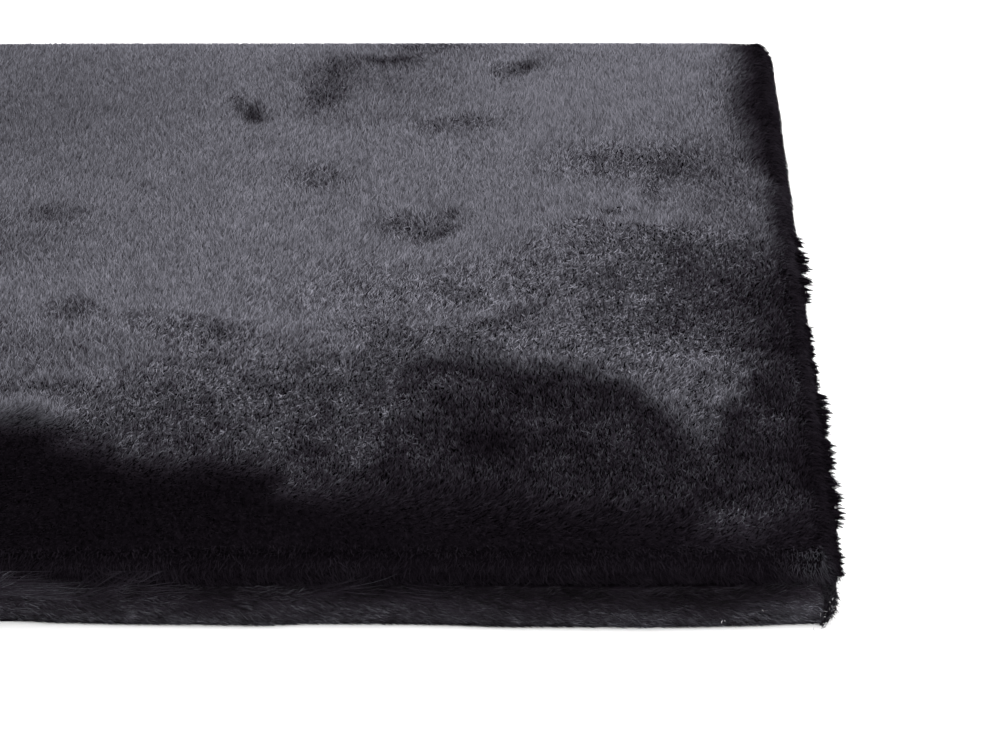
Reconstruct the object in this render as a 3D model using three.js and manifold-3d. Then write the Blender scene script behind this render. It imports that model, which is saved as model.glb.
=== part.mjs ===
// A thick rectangular faux fur rug. One puffed fur panel rolls over all four edges, and four strips
// of the same fur are sewn round the foot of its sides. The surface of each solid is where the tips
// of the short pile end. Where the pile is ruffled, locks stand out of the rim.
// Millimetres, +Z up. The origin is on the floor under the centre, and X runs along the length.
import * as THREE from "three";
import { mergeVertices } from "three/addons/utils/BufferGeometryUtils.js";
import Module from "manifold-3d";

const wasm = await Module();
wasm.setup();

// Outline over the pile, without the locks
const LENGTH = 900;
const WIDTH = 600;
const CORNER_RADIUS = 9;
// Inset at which the rounding of the corners and the waves of the edge have died out
const OUTLINE_FADE = 60;
const EDGE_WAVE = 0.8;
// Clearance between sewn pieces
const GAP = 0.3;

// Sewn strip: how tall and thick it is over its pile
const STRIP_HEIGHT = 20.3;
const STRIP_THICKNESS = 8;
const STRIP_END_INSET = 1.2;
const STRIP_WAVE = 0.5;
const STRIP_STEPS = 24;

// Section of the panel from its widest line up to the flat of its top, a row for each line of points
const ROLL = [
  { inset: 0, height: 26 },
  { inset: 1.6, height: 31 },
  { inset: 6, height: 36 },
  { inset: 14, height: 39.6 },
  { inset: 30, height: 42 },
  { inset: 60, height: 43.6 },
  { inset: 100, height: 44.5 },
];
// Section of the part that hangs over the strips, from its underside up to the widest line
const OVERHANG = [
  { inset: 3.4, height: STRIP_HEIGHT + GAP },
  { inset: 0.9, height: 23 },
];
// Foot of the panel, which stands inside the strips and reaches up into the overhanging part
const FOOT_INSET = STRIP_THICKNESS + GAP;
const FOOT_HEIGHT = 30;
// Outer face of a strip from the floor up: it is tucked under at the foot and under the roll
const STRIP_FACE = [
  { inset: 4.6, height: 0 },
  { inset: 2, height: 4 },
  { inset: 0.6, height: 10 },
  { inset: 1, height: 16 },
  { inset: 2.6, height: STRIP_HEIGHT },
];
// Spacing of the points over the flat of the top
const TOP_STEP = 14;
const RELIEF_FADE = 24;

// Humps and hollows of the top. along and across are half sizes, turn is in degrees from +X.
const RELIEF = [
  { x: 10, y: -262, along: 150, across: 62, turn: -8, rise: -7 },
  { x: 228, y: -228, along: 62, across: 46, turn: 20, rise: 3 },
  { x: 338, y: -192, along: 80, across: 56, turn: 12, rise: -6.5 },
  { x: 332, y: -102, along: 54, across: 16, turn: -10, rise: 3.5 },
  { x: 392, y: -154, along: 42, across: 15, turn: 96, rise: 3.5 },
  { x: 406, y: -44, along: 50, across: 46, turn: -12, rise: -5 },
  { x: 271, y: 32, along: 24, across: 14, turn: 60, rise: -3.5 },
  { x: 176, y: 174, along: 16, across: 11, turn: 108, rise: -3 },
  { x: 212, y: 210, along: 30, across: 12, turn: 82, rise: -3 },
  { x: 238, y: 250, along: 26, across: 13, turn: 10, rise: -2.5 },
  { x: 315, y: 240, along: 18, across: 11, turn: 57, rise: -3 },
  { x: 389, y: 104, along: 38, across: 26, turn: 160, rise: -3 },
  { x: 160, y: -96, along: 90, across: 30, turn: -6, rise: 2.5 },
  { x: -60, y: 60, along: 120, across: 70, turn: 30, rise: 2.5 },
  { x: -150, y: -60, along: 46, across: 20, turn: 70, rise: -3.5 },
  { x: -212, y: 176, along: 80, across: 34, turn: -22, rise: -4 },
  { x: -250, y: -240, along: 90, across: 50, turn: 10, rise: -6 },
  { x: -300, y: 20, along: 60, across: 24, turn: 118, rise: 3 },
  { x: -352, y: -120, along: 66, across: 36, turn: 64, rise: -5 },
  { x: -372, y: 214, along: 60, across: 44, turn: -38, rise: -4.5 },
  { x: -30, y: 246, along: 96, across: 38, turn: 4, rise: -4 },
  { x: -120, y: -180, along: 30, across: 16, turn: 20, rise: -3 },
];

// Ruffled places of the rim, where locks stand out: the side, the middle of the place, how long it
// is, how many locks it has, and how far its longest lock stands out of the roll
const RUFFLES = [
  { side: "right", at: 17, span: 58, locks: 16, reach: 3.5 },
  { side: "right", at: -64, span: 20, locks: 7, reach: 2.5 },
  { side: "right", at: -131, span: 22, locks: 8, reach: 4 },
  { side: "right", at: -181, span: 28, locks: 10, reach: 4.5 },
  { side: "right", at: -240, span: 46, locks: 14, reach: 5.5 },
  { side: "back", at: 240, span: 44, locks: 13, reach: 4 },
  { side: "back", at: -34, span: 26, locks: 9, reach: 3 },
  { side: "back", at: -290, span: 48, locks: 14, reach: 5.5 },
  { side: "left", at: 190, span: 36, locks: 11, reach: 3.5 },
  { side: "left", at: 64, span: 46, locks: 14, reach: 5.5 },
  { side: "left", at: -102, span: 22, locks: 8, reach: 3 },
  { side: "left", at: -216, span: 40, locks: 12, reach: 4.5 },
  { side: "front", at: -158, span: 24, locks: 8, reach: 3 },
  { side: "front", at: -318, span: 38, locks: 12, reach: 5.5 },
];
const LOCK_LEAST_SHARE = 0.45;
const LOCK_ROOT_INSET = 5;
const LOCK_RADIUS = 1.5;
const LOCK_SIDES = 4;
// Height of the lowest locks, and how far above it each next lock lies
const LOCK_LOWEST = 24;
const LOCK_STEPS_UP = [0, 5.5, 2.5];
const LOCK_SWEEP = 3;

const FUR_COLOUR = 0x4a4950;
const STRIP_COLOUR = 0x262427;

/** A repeatable number from 0 to 1 for each whole number. */
function chance(index) {
  const scrambled = Math.sin(index * 12.9898 + 4.1) * 43758.5453;
  return scrambled - Math.floor(scrambled);
}

/** Height that one row of RELIEF adds at a place. */
function rowRelief({ x, y, along, across, turn, rise }, px, py) {
  const angle = THREE.MathUtils.degToRad(turn);
  const dx = px - x;
  const dy = py - y;
  const lengthways = (dx * Math.cos(angle) + dy * Math.sin(angle)) / along;
  const sideways = (dy * Math.cos(angle) - dx * Math.sin(angle)) / across;
  return rise * Math.exp(-(lengthways ** 2 + sideways ** 2));
}

/** Height that all humps and hollows add at a place, which dies out towards the rim. */
function relief(px, py, inset) {
  const sum = RELIEF.reduce((total, row) => total + rowRelief(row, px, py), 0);
  return sum * THREE.MathUtils.smoothstep(inset, 0, RELIEF_FADE);
}

/** Grid lines over one direction of the panel: the rows of ROLL at each end, even steps between. */
function gridLines(half) {
  const rim = ROLL.map((row) => row.inset - half);
  const start = rim.at(-1);
  const count = Math.round((-2 * start) / TOP_STEP);
  const middle = Array.from({ length: count - 1 }, (_, i) => start - (2 * start * (i + 1)) / count);
  return [...rim, ...middle, ...rim.map((x) => -x).reverse()];
}

/** Moves a point of a square ring on to the ring with its round corners and wavy sides. */
function roundedPlace(x, y, inset) {
  const share = Math.max(0, 1 - inset / OUTLINE_FADE);
  const radius = CORNER_RADIUS * share;
  const halfX = LENGTH / 2 - inset;
  const halfY = WIDTH / 2 - inset;
  const fromCornerX = halfX - Math.abs(x);
  const fromCornerY = halfY - Math.abs(y);
  let outX = Math.abs(x);
  let outY = Math.abs(y);
  const fromCorner = Math.max(fromCornerX, fromCornerY);
  if (radius > 0 && fromCorner < radius) {
    const turned = (Math.PI / 4) * (1 - fromCorner / radius);
    const angle = fromCornerX < fromCornerY ? turned : Math.PI / 2 - turned;
    outX = halfX - radius + radius * Math.cos(angle);
    outY = halfY - radius + radius * Math.sin(angle);
  }
  const wave = EDGE_WAVE * share * (0.5 + 0.5 * Math.sin(x / 47 + y / 31 + 1));
  const onLongSide = fromCornerY <= fromCornerX;
  return {
    x: Math.sign(x) * (outX - (onLongSide ? 0 : wave)),
    y: Math.sign(y) * (outY - (onLongSide ? wave : 0)),
  };
}

/** Height of the plain section at an inset from the widest line. */
function rollHeight(inset) {
  const next = ROLL.findIndex((row) => row.inset > inset);
  if (next < 0) return ROLL.at(-1).height;
  const [low, high] = [ROLL[next - 1], ROLL[next]];
  return THREE.MathUtils.mapLinear(inset, low.inset, high.inset, low.height, high.height);
}

/** The rolled, uneven part of the panel above the strips: a box whose points are moved. */
function rolledGeometry() {
  const linesX = gridLines(LENGTH / 2);
  const linesY = gridLines(WIDTH / 2);
  const [countX, countY, countZ] = [linesX.length - 1, linesY.length - 1, OVERHANG.length];
  const geometry = new THREE.BoxGeometry(1, 1, 1, countX, countY, countZ);
  const position = geometry.getAttribute("position");
  for (let n = 0; n < position.count; n++) {
    const x = linesX[Math.round((position.getX(n) + 0.5) * countX)];
    const y = linesY[Math.round((position.getY(n) + 0.5) * countY)];
    const level = Math.round((position.getZ(n) + 0.5) * countZ);
    const inset = Math.min(LENGTH / 2 - Math.abs(x), WIDTH / 2 - Math.abs(y));
    const place = roundedPlace(x, y, inset);
    if (level === countZ) {
      position.setXYZ(n, place.x, place.y, rollHeight(inset) + relief(x, y, inset));
    } else {
      const row = OVERHANG[level];
      const shareX = 1 - (2 * row.inset) / LENGTH;
      const shareY = 1 - (2 * row.inset) / WIDTH;
      position.setXYZ(n, place.x * shareX, place.y * shareY, row.height);
    }
  }
  return geometry;
}

/** The foot of the panel: a plain block on the floor, inside the strips. */
function footGeometry() {
  const foot = new THREE.BoxGeometry(LENGTH - 2 * FOOT_INSET, WIDTH - 2 * FOOT_INSET, FOOT_HEIGHT);
  return foot.translate(0, 0, FOOT_HEIGHT / 2);
}

/** A closed geometry as a solid for joining. */
function solidOf(geometry) {
  const bare = geometry.clone();
  bare.deleteAttribute("normal");
  bare.deleteAttribute("uv");
  const merged = mergeVertices(bare, 1e-4);
  return new wasm.Manifold(
    new wasm.Mesh({
      numProp: 3,
      vertProperties: new Float32Array(merged.getAttribute("position").array),
      triVerts: new Uint32Array(merged.index.array),
    }),
  );
}

/** A joined solid as a geometry. */
function geometryOf(solid) {
  const { vertProperties, triVerts } = solid.getMesh();
  const geometry = new THREE.BufferGeometry();
  geometry.setAttribute("position", new THREE.BufferAttribute(vertProperties, 3));
  geometry.setIndex(new THREE.BufferAttribute(triVerts, 1));
  geometry.computeVertexNormals();
  return geometry;
}

/** Outward direction of a side, and how far its widest line is from the centre. */
function sideOf(name) {
  return {
    right: { outward: new THREE.Vector3(1, 0, 0), half: LENGTH / 2 },
    left: { outward: new THREE.Vector3(-1, 0, 0), half: LENGTH / 2 },
    back: { outward: new THREE.Vector3(0, 1, 0), half: WIDTH / 2 },
    front: { outward: new THREE.Vector3(0, -1, 0), half: WIDTH / 2 },
  }[name];
}

/** The locks of one ruffled place. The middle one is the longest. */
function ruffleSolids({ side, at, span, locks, reach }, seed) {
  const { outward, half } = sideOf(side);
  const alongSide = new THREE.Vector3(Math.abs(outward.y), Math.abs(outward.x), 0);
  const middle = Math.floor(locks / 2);
  return Array.from({ length: locks }, (_, k) => {
    const luck = chance(seed * 100 + k);
    const fall = k === middle ? 0 : Math.min(1, Math.abs(k - middle) / locks + 0.4 * luck);
    const share = THREE.MathUtils.lerp(1, LOCK_LEAST_SHARE, fall);
    const place = at + span * (k / (locks - 1) - 0.5);
    const height = LOCK_LOWEST + LOCK_STEPS_UP[k % LOCK_STEPS_UP.length] + luck;
    const up = new THREE.Vector3(0, 0, height);
    const root = outward.clone().multiplyScalar(half - LOCK_ROOT_INSET);
    root.addScaledVector(alongSide, place).add(up);
    const tip = outward.clone().multiplyScalar(half + reach * share);
    tip.addScaledVector(alongSide, place + LOCK_SWEEP * (luck - 0.7)).add(up);
    tip.z += LOCK_SWEEP * (chance(seed * 57 + k) - 0.5);
    const direction = tip.clone().sub(root);
    const lock = new THREE.ConeGeometry(LOCK_RADIUS, direction.length(), LOCK_SIDES);
    lock.translate(0, direction.length() / 2, 0);
    lock.applyQuaternion(
      new THREE.Quaternion().setFromUnitVectors(new THREE.Vector3(0, 1, 0), direction.normalize()),
    );
    lock.translate(root.x, root.y, root.z);
    return solidOf(lock);
  });
}

/** The fur panel with its locks, in one piece. */
function furPanel() {
  const locks = RUFFLES.flatMap(ruffleSolids);
  const body = [solidOf(rolledGeometry()), solidOf(footGeometry())];
  return geometryOf(wasm.Manifold.union([...body, ...locks]));
}

/** A strip of the given length along X, its outer face towards -Y and its foot at the origin. */
function stripGeometry(length) {
  const outline = STRIP_FACE.map(({ inset, height }) => new THREE.Vector2(inset, height));
  outline.push(new THREE.Vector2(STRIP_THICKNESS, STRIP_HEIGHT));
  outline.push(new THREE.Vector2(STRIP_THICKNESS, 0));
  const strip = new THREE.ExtrudeGeometry(new THREE.Shape(outline), {
    depth: length,
    steps: STRIP_STEPS,
    bevelEnabled: false,
  });
  const position = strip.getAttribute("position");
  for (let n = 0; n < position.count; n++) {
    const inset = position.getX(n);
    const height = position.getY(n);
    const along = position.getZ(n) - length / 2;
    const swell = Math.sin(along / 33) * Math.sin(along / 71 + 1);
    const moved = inset < STRIP_THICKNESS ? STRIP_WAVE * swell : 0;
    position.setXYZ(n, along, inset + moved, height);
  }
  strip.computeVertexNormals();
  return strip;
}

/** One sewn strip as a mesh, on the side at this turn about Z, that far from the centre. */
function stripMesh(name, length, turn, half) {
  const material = new THREE.MeshStandardMaterial({
    color: STRIP_COLOUR,
    roughness: 0.9,
    metalness: 0,
  });
  const mesh = new THREE.Mesh(stripGeometry(length), material);
  mesh.name = name;
  mesh.rotation.z = THREE.MathUtils.degToRad(turn);
  mesh.position.set(0, -half, 0).applyAxisAngle(new THREE.Vector3(0, 0, 1), mesh.rotation.z);
  return mesh;
}

const rug = new THREE.Group();

const panelMaterial = new THREE.MeshStandardMaterial({
  color: FUR_COLOUR,
  roughness: 0.85,
  metalness: 0,
});
const panel = new THREE.Mesh(furPanel(), panelMaterial);
panel.name = "fur_panel";
rug.add(panel);

// The long strips end short of the corners, and the end strips cover their cut ends
const longStrip = LENGTH - 2 * (STRIP_THICKNESS + GAP);
const endStrip = WIDTH - 2 * STRIP_END_INSET;
rug.add(stripMesh("edge_strip_front", longStrip, 0, WIDTH / 2));
rug.add(stripMesh("edge_strip_right", endStrip, 90, LENGTH / 2));
rug.add(stripMesh("edge_strip_back", longStrip, 180, WIDTH / 2));
rug.add(stripMesh("edge_strip_left", endStrip, 270, LENGTH / 2));

export default rug;
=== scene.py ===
"""A thick charcoal faux fur rug: its skins, its pile, its ruffled locks and its sewn edge strips."""
import logging
import math
from dataclasses import dataclass, field
from enum import Enum
from typing import Any

import bmesh
import bpy
import numpy as np
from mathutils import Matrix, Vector
from mathutils.bvhtree import BVHTree


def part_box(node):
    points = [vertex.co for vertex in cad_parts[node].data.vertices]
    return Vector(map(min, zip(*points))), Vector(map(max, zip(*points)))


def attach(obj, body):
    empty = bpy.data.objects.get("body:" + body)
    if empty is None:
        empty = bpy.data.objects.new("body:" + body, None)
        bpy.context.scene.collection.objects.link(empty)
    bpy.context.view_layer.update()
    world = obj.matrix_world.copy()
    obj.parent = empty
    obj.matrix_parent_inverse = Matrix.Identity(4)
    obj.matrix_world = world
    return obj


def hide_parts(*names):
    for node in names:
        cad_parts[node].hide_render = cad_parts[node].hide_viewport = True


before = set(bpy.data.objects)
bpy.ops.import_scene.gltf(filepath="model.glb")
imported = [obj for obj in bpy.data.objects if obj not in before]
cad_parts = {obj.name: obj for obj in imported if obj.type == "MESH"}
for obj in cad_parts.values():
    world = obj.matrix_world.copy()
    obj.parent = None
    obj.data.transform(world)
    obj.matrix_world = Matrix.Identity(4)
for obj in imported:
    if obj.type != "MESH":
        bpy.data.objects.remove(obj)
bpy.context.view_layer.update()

LOG = logging.getLogger("rug")
MM = 0.001
BODY = "root"
# Power that turns a grey as it looks into the light that it sends back
GREY_POWER = 2.2
# How much blades turn about themselves, in degrees
HAIR_TURN = 40
UP = np.array([0.0, 0.0, 1.0])
Array = np.ndarray


class Side(Enum):
    """The four sides of the rug, each with its outward direction."""

    FRONT = (0.0, -1.0)
    RIGHT = (1.0, 0.0)
    BACK = (0.0, 1.0)
    LEFT = (-1.0, 0.0)


# Plain maths on arrays


def eased(value: Array, low: float, high: float) -> Array:
    """Rises smoothly from 0 to 1.

    Args:
        value: The numbers to ease.
        low: Where the result is 0.
        high: Where the result is 1. It may be the lower of the two.

    Returns:
        A number from 0 to 1 for each value.
    """
    share = np.clip((value - low) / (high - low), 0.0, 1.0)
    return share * share * (3.0 - 2.0 * share)


def unit(vectors: Array) -> Array:
    """Gives each row the length 1."""
    return vectors / np.maximum(np.linalg.norm(vectors, axis=-1, keepdims=True), 1e-9)


def walked(rows: Any) -> Array:
    """Gives the distance along a path to each of its points."""
    return np.concatenate([[0], np.cumsum(np.linalg.norm(np.diff(np.array(rows), axis=0), axis=1))])


def read(table: tuple[tuple[float, float], ...], at: Array) -> Array:
    """Reads a table of places and values, and blends between its rows."""
    return np.interp(at, *np.array(table).T)


class Noise:
    """Smooth unevenness that comes out the same in each run."""

    SIZE = 256

    def __init__(self, seed: int) -> None:
        """Fills the table that the unevenness is read from."""
        self.table = np.random.default_rng(seed).random((self.SIZE, self.SIZE))

    def cell(self, column: Array, row: Array) -> Array:
        """Gives the number from 0 to 1 of each cell of the table."""
        return self.table[column % self.SIZE, row % self.SIZE]

    def smooth(self, x: Array, y: Array, size: float) -> Array:
        """Blends the cells' numbers into a smooth field.

        Args:
            x: Places along X.
            y: Places along Y.
            size: How wide a cell is.

        Returns:
            A number from -1 to 1 for each place.
        """
        column, row = np.floor(x / size).astype(int), np.floor(y / size).astype(int)
        share_x, share_y = eased(x / size - column, 0, 1), eased(y / size - row, 0, 1)
        low = self.cell(column, row) * (1 - share_x) + self.cell(column + 1, row) * share_x
        high = self.cell(column, row + 1) * (1 - share_x) + self.cell(column + 1, row + 1) * share_x
        return 2.0 * (low * (1 - share_y) + high * share_y) - 1.0

    def layered(self, x: Array, y: Array, size: float) -> Array:
        """Adds up three sizes of smooth unevenness, each half as wide as the one before."""
        return sum(self.smooth(x, y, size / 2**k) * 0.55**k for k in range(3)) / 1.5


# Shader nodes


class Value:
    """A number output of a shader node that takes part in plain expressions."""

    def __init__(self, shader: "Shader", socket: Any) -> None:
        """Wraps one output socket."""
        self.shader = shader
        self.socket = socket

    def _math(self, operation: str, *inputs: Any) -> "Value":
        """Adds one Math node on these inputs."""
        return Value(self.shader, self.shader.node("Math", {"operation": operation}, dict(enumerate(inputs))))

    def __add__(self, other: Any) -> "Value":
        """Adds two values."""
        return self._math("ADD", self, other)

    def __mul__(self, other: Any) -> "Value":
        """Multiplies two values."""
        return self._math("MULTIPLY", self, other)

    def clamped(self) -> "Value":
        """Keeps the value from 0 to 1."""
        return self._math("MINIMUM", self._math("MAXIMUM", self, 0.0), 1.0)


class Shader:
    """One node-based material in the making."""

    # Warm hue of the black dye, and cool hue of the painted sheen where the tone is grey
    DARK_HUE = (1.12, 0.84, 1.2)
    GREY_HUE = (1.0, 0.985, 1.15)
    GREY_TONE = 0.026

    def __init__(self, name: str) -> None:
        """Starts a material with its surface shader and output."""
        self.material = bpy.data.materials.new(name)
        self.material.use_nodes = True
        self.tree = self.material.node_tree
        self.tree.nodes.clear()

    def node(self, kind: str, settings: dict[str, Any], inputs: dict[Any, Any], output: Any = 0) -> Any:
        """Adds a node.

        Args:
            kind: The node's type, without the words ShaderNode in front.
            settings: Properties to set first; "stops" are a ramp's places and colours.
            inputs: Value or link for each input, by name or number.
            output: Name or number of the output that is wanted.

        Returns:
            The output socket.
        """
        made = self.tree.nodes.new("ShaderNode" + kind)
        for key, setting in settings.items():
            if key == "stops":
                ramp = made.color_ramp.elements
                while len(ramp) < len(setting):
                    ramp.new(1.0)
                for stop, (place, colour) in zip(ramp, setting):
                    stop.position, stop.color = place, (*colour, 1.0)
            else:
                setattr(made, key, setting)
        for key, given in inputs.items():
            given = given.socket if isinstance(given, Value) else given
            if isinstance(given, bpy.types.NodeSocket):
                self.tree.links.new(given, made.inputs[key])
            else:
                made.inputs[key].default_value = given
        return made.outputs[output]

    def attribute(self, name: str) -> Value:
        """Reads a number that each corner of the piece carries."""
        return Value(self, self.node("Attribute", {"attribute_name": name}, {}, "Fac"))

    def speckle(self, scale: float, detail: float) -> Value:
        """Fine noise on the piece's own coordinates, from 0 to 1."""
        place = self.node("TexCoord", {}, {}, "Object")
        return Value(self, self.node("TexNoise", {}, {"Vector": place, "Scale": scale, "Detail": detail}))

    def mixed(self, share: Value, low: Any, high: Any) -> Any:
        """Blends two colours."""
        return self.node("Mix", {"data_type": "RGBA"}, {"Factor": share, 6: low, 7: high}, 2)

    def scaled(self, colour: Any, amount: Value) -> Any:
        """Makes a colour darker or lighter by a value."""
        return self.node("VectorMath", {"operation": "SCALE"}, {0: colour, "Scale": amount})

    def dyed(self, tone: Value, share: Value) -> Any:
        """Colours a tone warm where it is nearly black, as the dye is, and cool where it is grey, as the
        painted sheen is.

        Args:
            tone: How light the place is.
            share: Unevenness that the tone is multiplied by.

        Returns:
            The colour.
        """
        hue = self.mixed((tone * (1 / self.GREY_TONE)).clamped(), (*self.DARK_HUE, 1), (*self.GREY_HUE, 1))
        return self.scaled(hue, tone * share)

    def finished(self, **inputs: Any) -> bpy.types.Material:
        """Adds the surface shader and the output.

        Args:
            **inputs: The surface shader's inputs, with _ for a space.

        Returns:
            The material.
        """
        named = {key.replace("_", " "): given for key, given in inputs.items()}
        surface = self.node("BsdfPrincipled", {}, named)
        output = self.tree.nodes.new("ShaderNodeOutputMaterial")
        self.tree.links.new(surface, output.inputs["Surface"])
        return self.material


# Finishes


@dataclass(frozen=True)
class FurFinish:
    """Dyed pile with painted sheen and shade: the tone comes from each hair, and the hue turns from the dye's
    warm black to the cool grey of the painted sheen.
    """

    name: str
    slot: str
    speckle: float = 0.2
    roughness: float = 0.62
    gloss: float = 0.0

    def material(self) -> bpy.types.Material:
        """Makes the material."""
        shader = Shader(self.name)
        tone = shader.attribute("tone")
        fine = shader.speckle(900.0, 2.0)
        colour = shader.dyed(tone, fine * self.speckle + (1 - self.speckle / 2))
        return shader.finished(
            Base_Color=colour,
            Roughness=(fine * 0.2 + self.roughness).clamped(),
            Specular_IOR_Level=self.gloss,
        )


@dataclass(frozen=True)
class BackingFinish:
    """The knitted ground that the pile grows out of, and the plain cloth of the underside."""

    name: str
    slot: str
    stitch: float = 1.6 * MM
    roughness: float = 0.9

    def material(self) -> bpy.types.Material:
        """Makes the material."""
        shader = Shader(self.name)
        tone = shader.attribute("tone")
        knit = shader.node(
            "TexVoronoi", {}, {"Vector": shader.node("TexCoord", {}, {}, "Object"), "Scale": 1 / self.stitch}
        )
        loops = Value(shader, knit)
        bump = shader.node("Bump", {}, {"Strength": 0.5, "Distance": 0.3 * MM, "Height": loops}, "Normal")
        colour = shader.dyed(tone, loops * 0.5 + 0.7)
        return shader.finished(
            Base_Color=colour, Roughness=self.roughness, Specular_IOR_Level=0.0, Normal=bump
        )


@dataclass(frozen=True)
class ThreadFinish:
    """Pale raw threads where the cut edge of a strip frays."""

    name: str = "frayed_thread"
    slot: str = "edge_fur"
    light_hue: tuple[float, float, float] = (1, 0.97, 0.98)
    dark_hue: tuple[float, float, float] = (0.8, 0.78, 0.84)

    def material(self) -> bpy.types.Material:
        """Makes the material."""
        shader = Shader(self.name)
        tone = shader.attribute("tone")
        hue = shader.mixed(shader.speckle(600.0, 1.0), (*self.light_hue, 1), (*self.dark_hue, 1))
        colour = shader.scaled(hue, tone)
        return shader.finished(Base_Color=colour, Roughness=0.8, Specular_IOR_Level=0.2)


@dataclass(frozen=True)
class FloorFinish:
    """Plain pale floor."""

    colour: tuple[float, float, float] = (0.97, 0.97, 0.97)

    def material(self) -> bpy.types.Material:
        """Makes the material."""
        return Shader("pale_floor").finished(
            Base_Color=(*self.colour, 1), Roughness=0.9, Specular_IOR_Level=0.1
        )


# The rug's form


@dataclass
class RugForm:
    """The surface on which the tips of the pile end, read from the frame and from its section."""

    corner_radius: float = 9 * MM
    # Insets and heights of the roll from its crease over the strips up to the top
    roll: tuple[tuple[float, float], ...] = (
        (3.4 * MM, 20.6 * MM), (0.9 * MM, 23 * MM), (0.0, 26 * MM), (1.6 * MM, 31 * MM), (6 * MM, 36 * MM),
        (14 * MM, 39.6 * MM), (30 * MM, 42 * MM),
    )
    # Inset at which the roll's own pile hands over to the pile of the top
    top_inset: float = 8 * MM
    # How far the roll's pile runs on under the first of the pile of the top
    overlap: float = 4 * MM
    relief_fade: float = 24 * MM
    sample: float = 4 * MM
    half: Array = field(init=False)
    heights: Array = field(init=False)
    places: list[Array] = field(init=False)

    def __post_init__(self) -> None:
        """Reads the outline from the strips, and the height of the top from the panel."""
        reach = [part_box("edge_strip_right")[1].x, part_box("edge_strip_front")[0].y]
        strip_inset = 0.1 * MM
        self.half = np.abs(np.round(np.array(reach) + strip_inset * np.sign(reach), 3))
        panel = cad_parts["fur_panel"].data
        faces = [tuple(face.vertices) for face in panel.polygons]
        tree = BVHTree.FromPolygons([v.co for v in panel.vertices], faces)
        inner = self.half - self.top_inset
        counts = np.ceil(2 * inner / self.sample).astype(int) + 1
        self.places = [np.linspace(-h, h, n) for h, n in zip(inner, counts)]
        down, above = Vector((0, 0, -1)), 2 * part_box("fur_panel")[1].z
        self.heights = np.array(
            [
                [tree.ray_cast(Vector((x, y, above)), down)[0].z for y in self.places[1]]
                for x in self.places[0]
            ]
        )

    def height(self, x: Array, y: Array) -> Array:
        """Height of the top over a place inside the roll."""
        found = []
        for place, line in zip((x, y), self.places):
            step = (place - line[0]) / (line[1] - line[0])
            low = np.clip(np.floor(step).astype(int), 0, len(line) - 2)
            found.append((low, np.clip(step - low, 0.0, 1.0)))
        (i, a), (j, b) = found
        grid = self.heights
        low = grid[i, j] * (1 - a) + grid[i + 1, j] * a
        high = grid[i, j + 1] * (1 - a) + grid[i + 1, j + 1] * a
        return low * (1 - b) + high * b

    def slope(self, x: Array, y: Array) -> tuple[Array, Array]:
        """Slope of the top along X and along Y."""
        step = self.sample
        return (
            (self.height(x + step, y) - self.height(x - step, y)) / (2 * step),
            (self.height(x, y + step) - self.height(x, y - step)) / (2 * step),
        )

    def inset(self, x: Array, y: Array) -> Array:
        """How far a place is from the nearest side."""
        return np.minimum(self.half[0] - np.abs(x), self.half[1] - np.abs(y))

    def perimeter(self) -> float:
        """Length of the outline with its round corners."""
        return float(4 * self.half.sum() - (8 - 2 * math.pi) * self.corner_radius)

    def outline(self, along: Array) -> tuple[Array, Array]:
        """Walks the outline anticlockwise from the front left corner.

        Args:
            along: Distances along the outline.

        Returns:
            The places in plan, and the outward directions there.
        """
        radius = self.corner_radius
        spans = [2 * (self.half[0] - radius), 2 * (self.half[1] - radius)] * 2
        arc = radius * math.pi / 2
        left = np.mod(np.asarray(along, float), self.perimeter())
        place, outward = np.zeros((*left.shape, 2)), np.zeros((*left.shape, 2))
        centres = [(1, -1), (1, 1), (-1, 1), (-1, -1)]
        for k, side in enumerate((Side.FRONT, Side.RIGHT, Side.BACK, Side.LEFT)):
            out = np.array(side.value)
            forward = np.array([-out[1], out[0]])
            centre = np.array(centres[k]) * (self.half - radius)
            on_side = (left >= 0) & (left < spans[k])
            start = centre + out * radius - forward * spans[k]
            place[on_side] = start + forward * left[on_side, None]
            outward[on_side] = out
            left = left - spans[k]
            on_arc = (left >= 0) & (left < arc)
            turn = (left[on_arc] / radius)[:, None]
            ray = out * np.cos(turn) + forward * np.sin(turn)
            place[on_arc] = centre + ray * radius
            outward[on_arc] = ray
            left = left - arc
        return place, outward

    def roll_length(self) -> float:
        """Length of the roll's section from the crease up to where its pile ends."""
        return float(walked(self._roll_rows())[-1])

    def _roll_rows(self) -> Array:
        """The section's rows as far as the roll's pile runs, with one at the very end."""
        rows, end = np.array(self.roll), self.top_inset + self.overlap
        last = int(np.argmax(rows[:, 0] > end))
        share = (end - rows[last - 1, 0]) / (rows[last, 0] - rows[last - 1, 0])
        return np.vstack([rows[:last], rows[last - 1] + share * (rows[last] - rows[last - 1])])

    def _section(self, up: Array) -> Array:
        """Insets and heights of the section at distances up it from the crease."""
        rows = self._roll_rows()
        return np.stack([np.interp(up, walked(rows), column) for column in rows.T])

    def relief(self, x: Array, y: Array) -> Array:
        """Height that humps and hollows add just inside a place of the roll."""
        inner = self.half - self.relief_fade
        rows = np.array(self.roll)
        flat = np.interp(self.relief_fade, rows[3:, 0], rows[3:, 1])
        return self.height(np.clip(x, -inner[0], inner[0]), np.clip(y, -inner[1], inner[1])) - flat

    def rounded(self, x: Array, y: Array, inset: float) -> tuple[Array, Array]:
        """Moves places of a square ring on to the round corners of the outline at that inset."""
        centre, radius = self.half - self.corner_radius, max(self.corner_radius - inset, 1 * MM)
        place = np.abs(np.stack([x, y], -1))
        over = np.maximum(place - centre, 0.0)
        reach = np.linalg.norm(over, axis=-1)
        in_corner = (over.min(-1) > 0) & (reach > radius)
        share = np.where(in_corner, radius / np.maximum(reach, 1e-9), 1.0)[..., None]
        kept = np.minimum(place, centre) + over * share
        return np.sign(x) * kept[..., 0], np.sign(y) * kept[..., 1]

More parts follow.
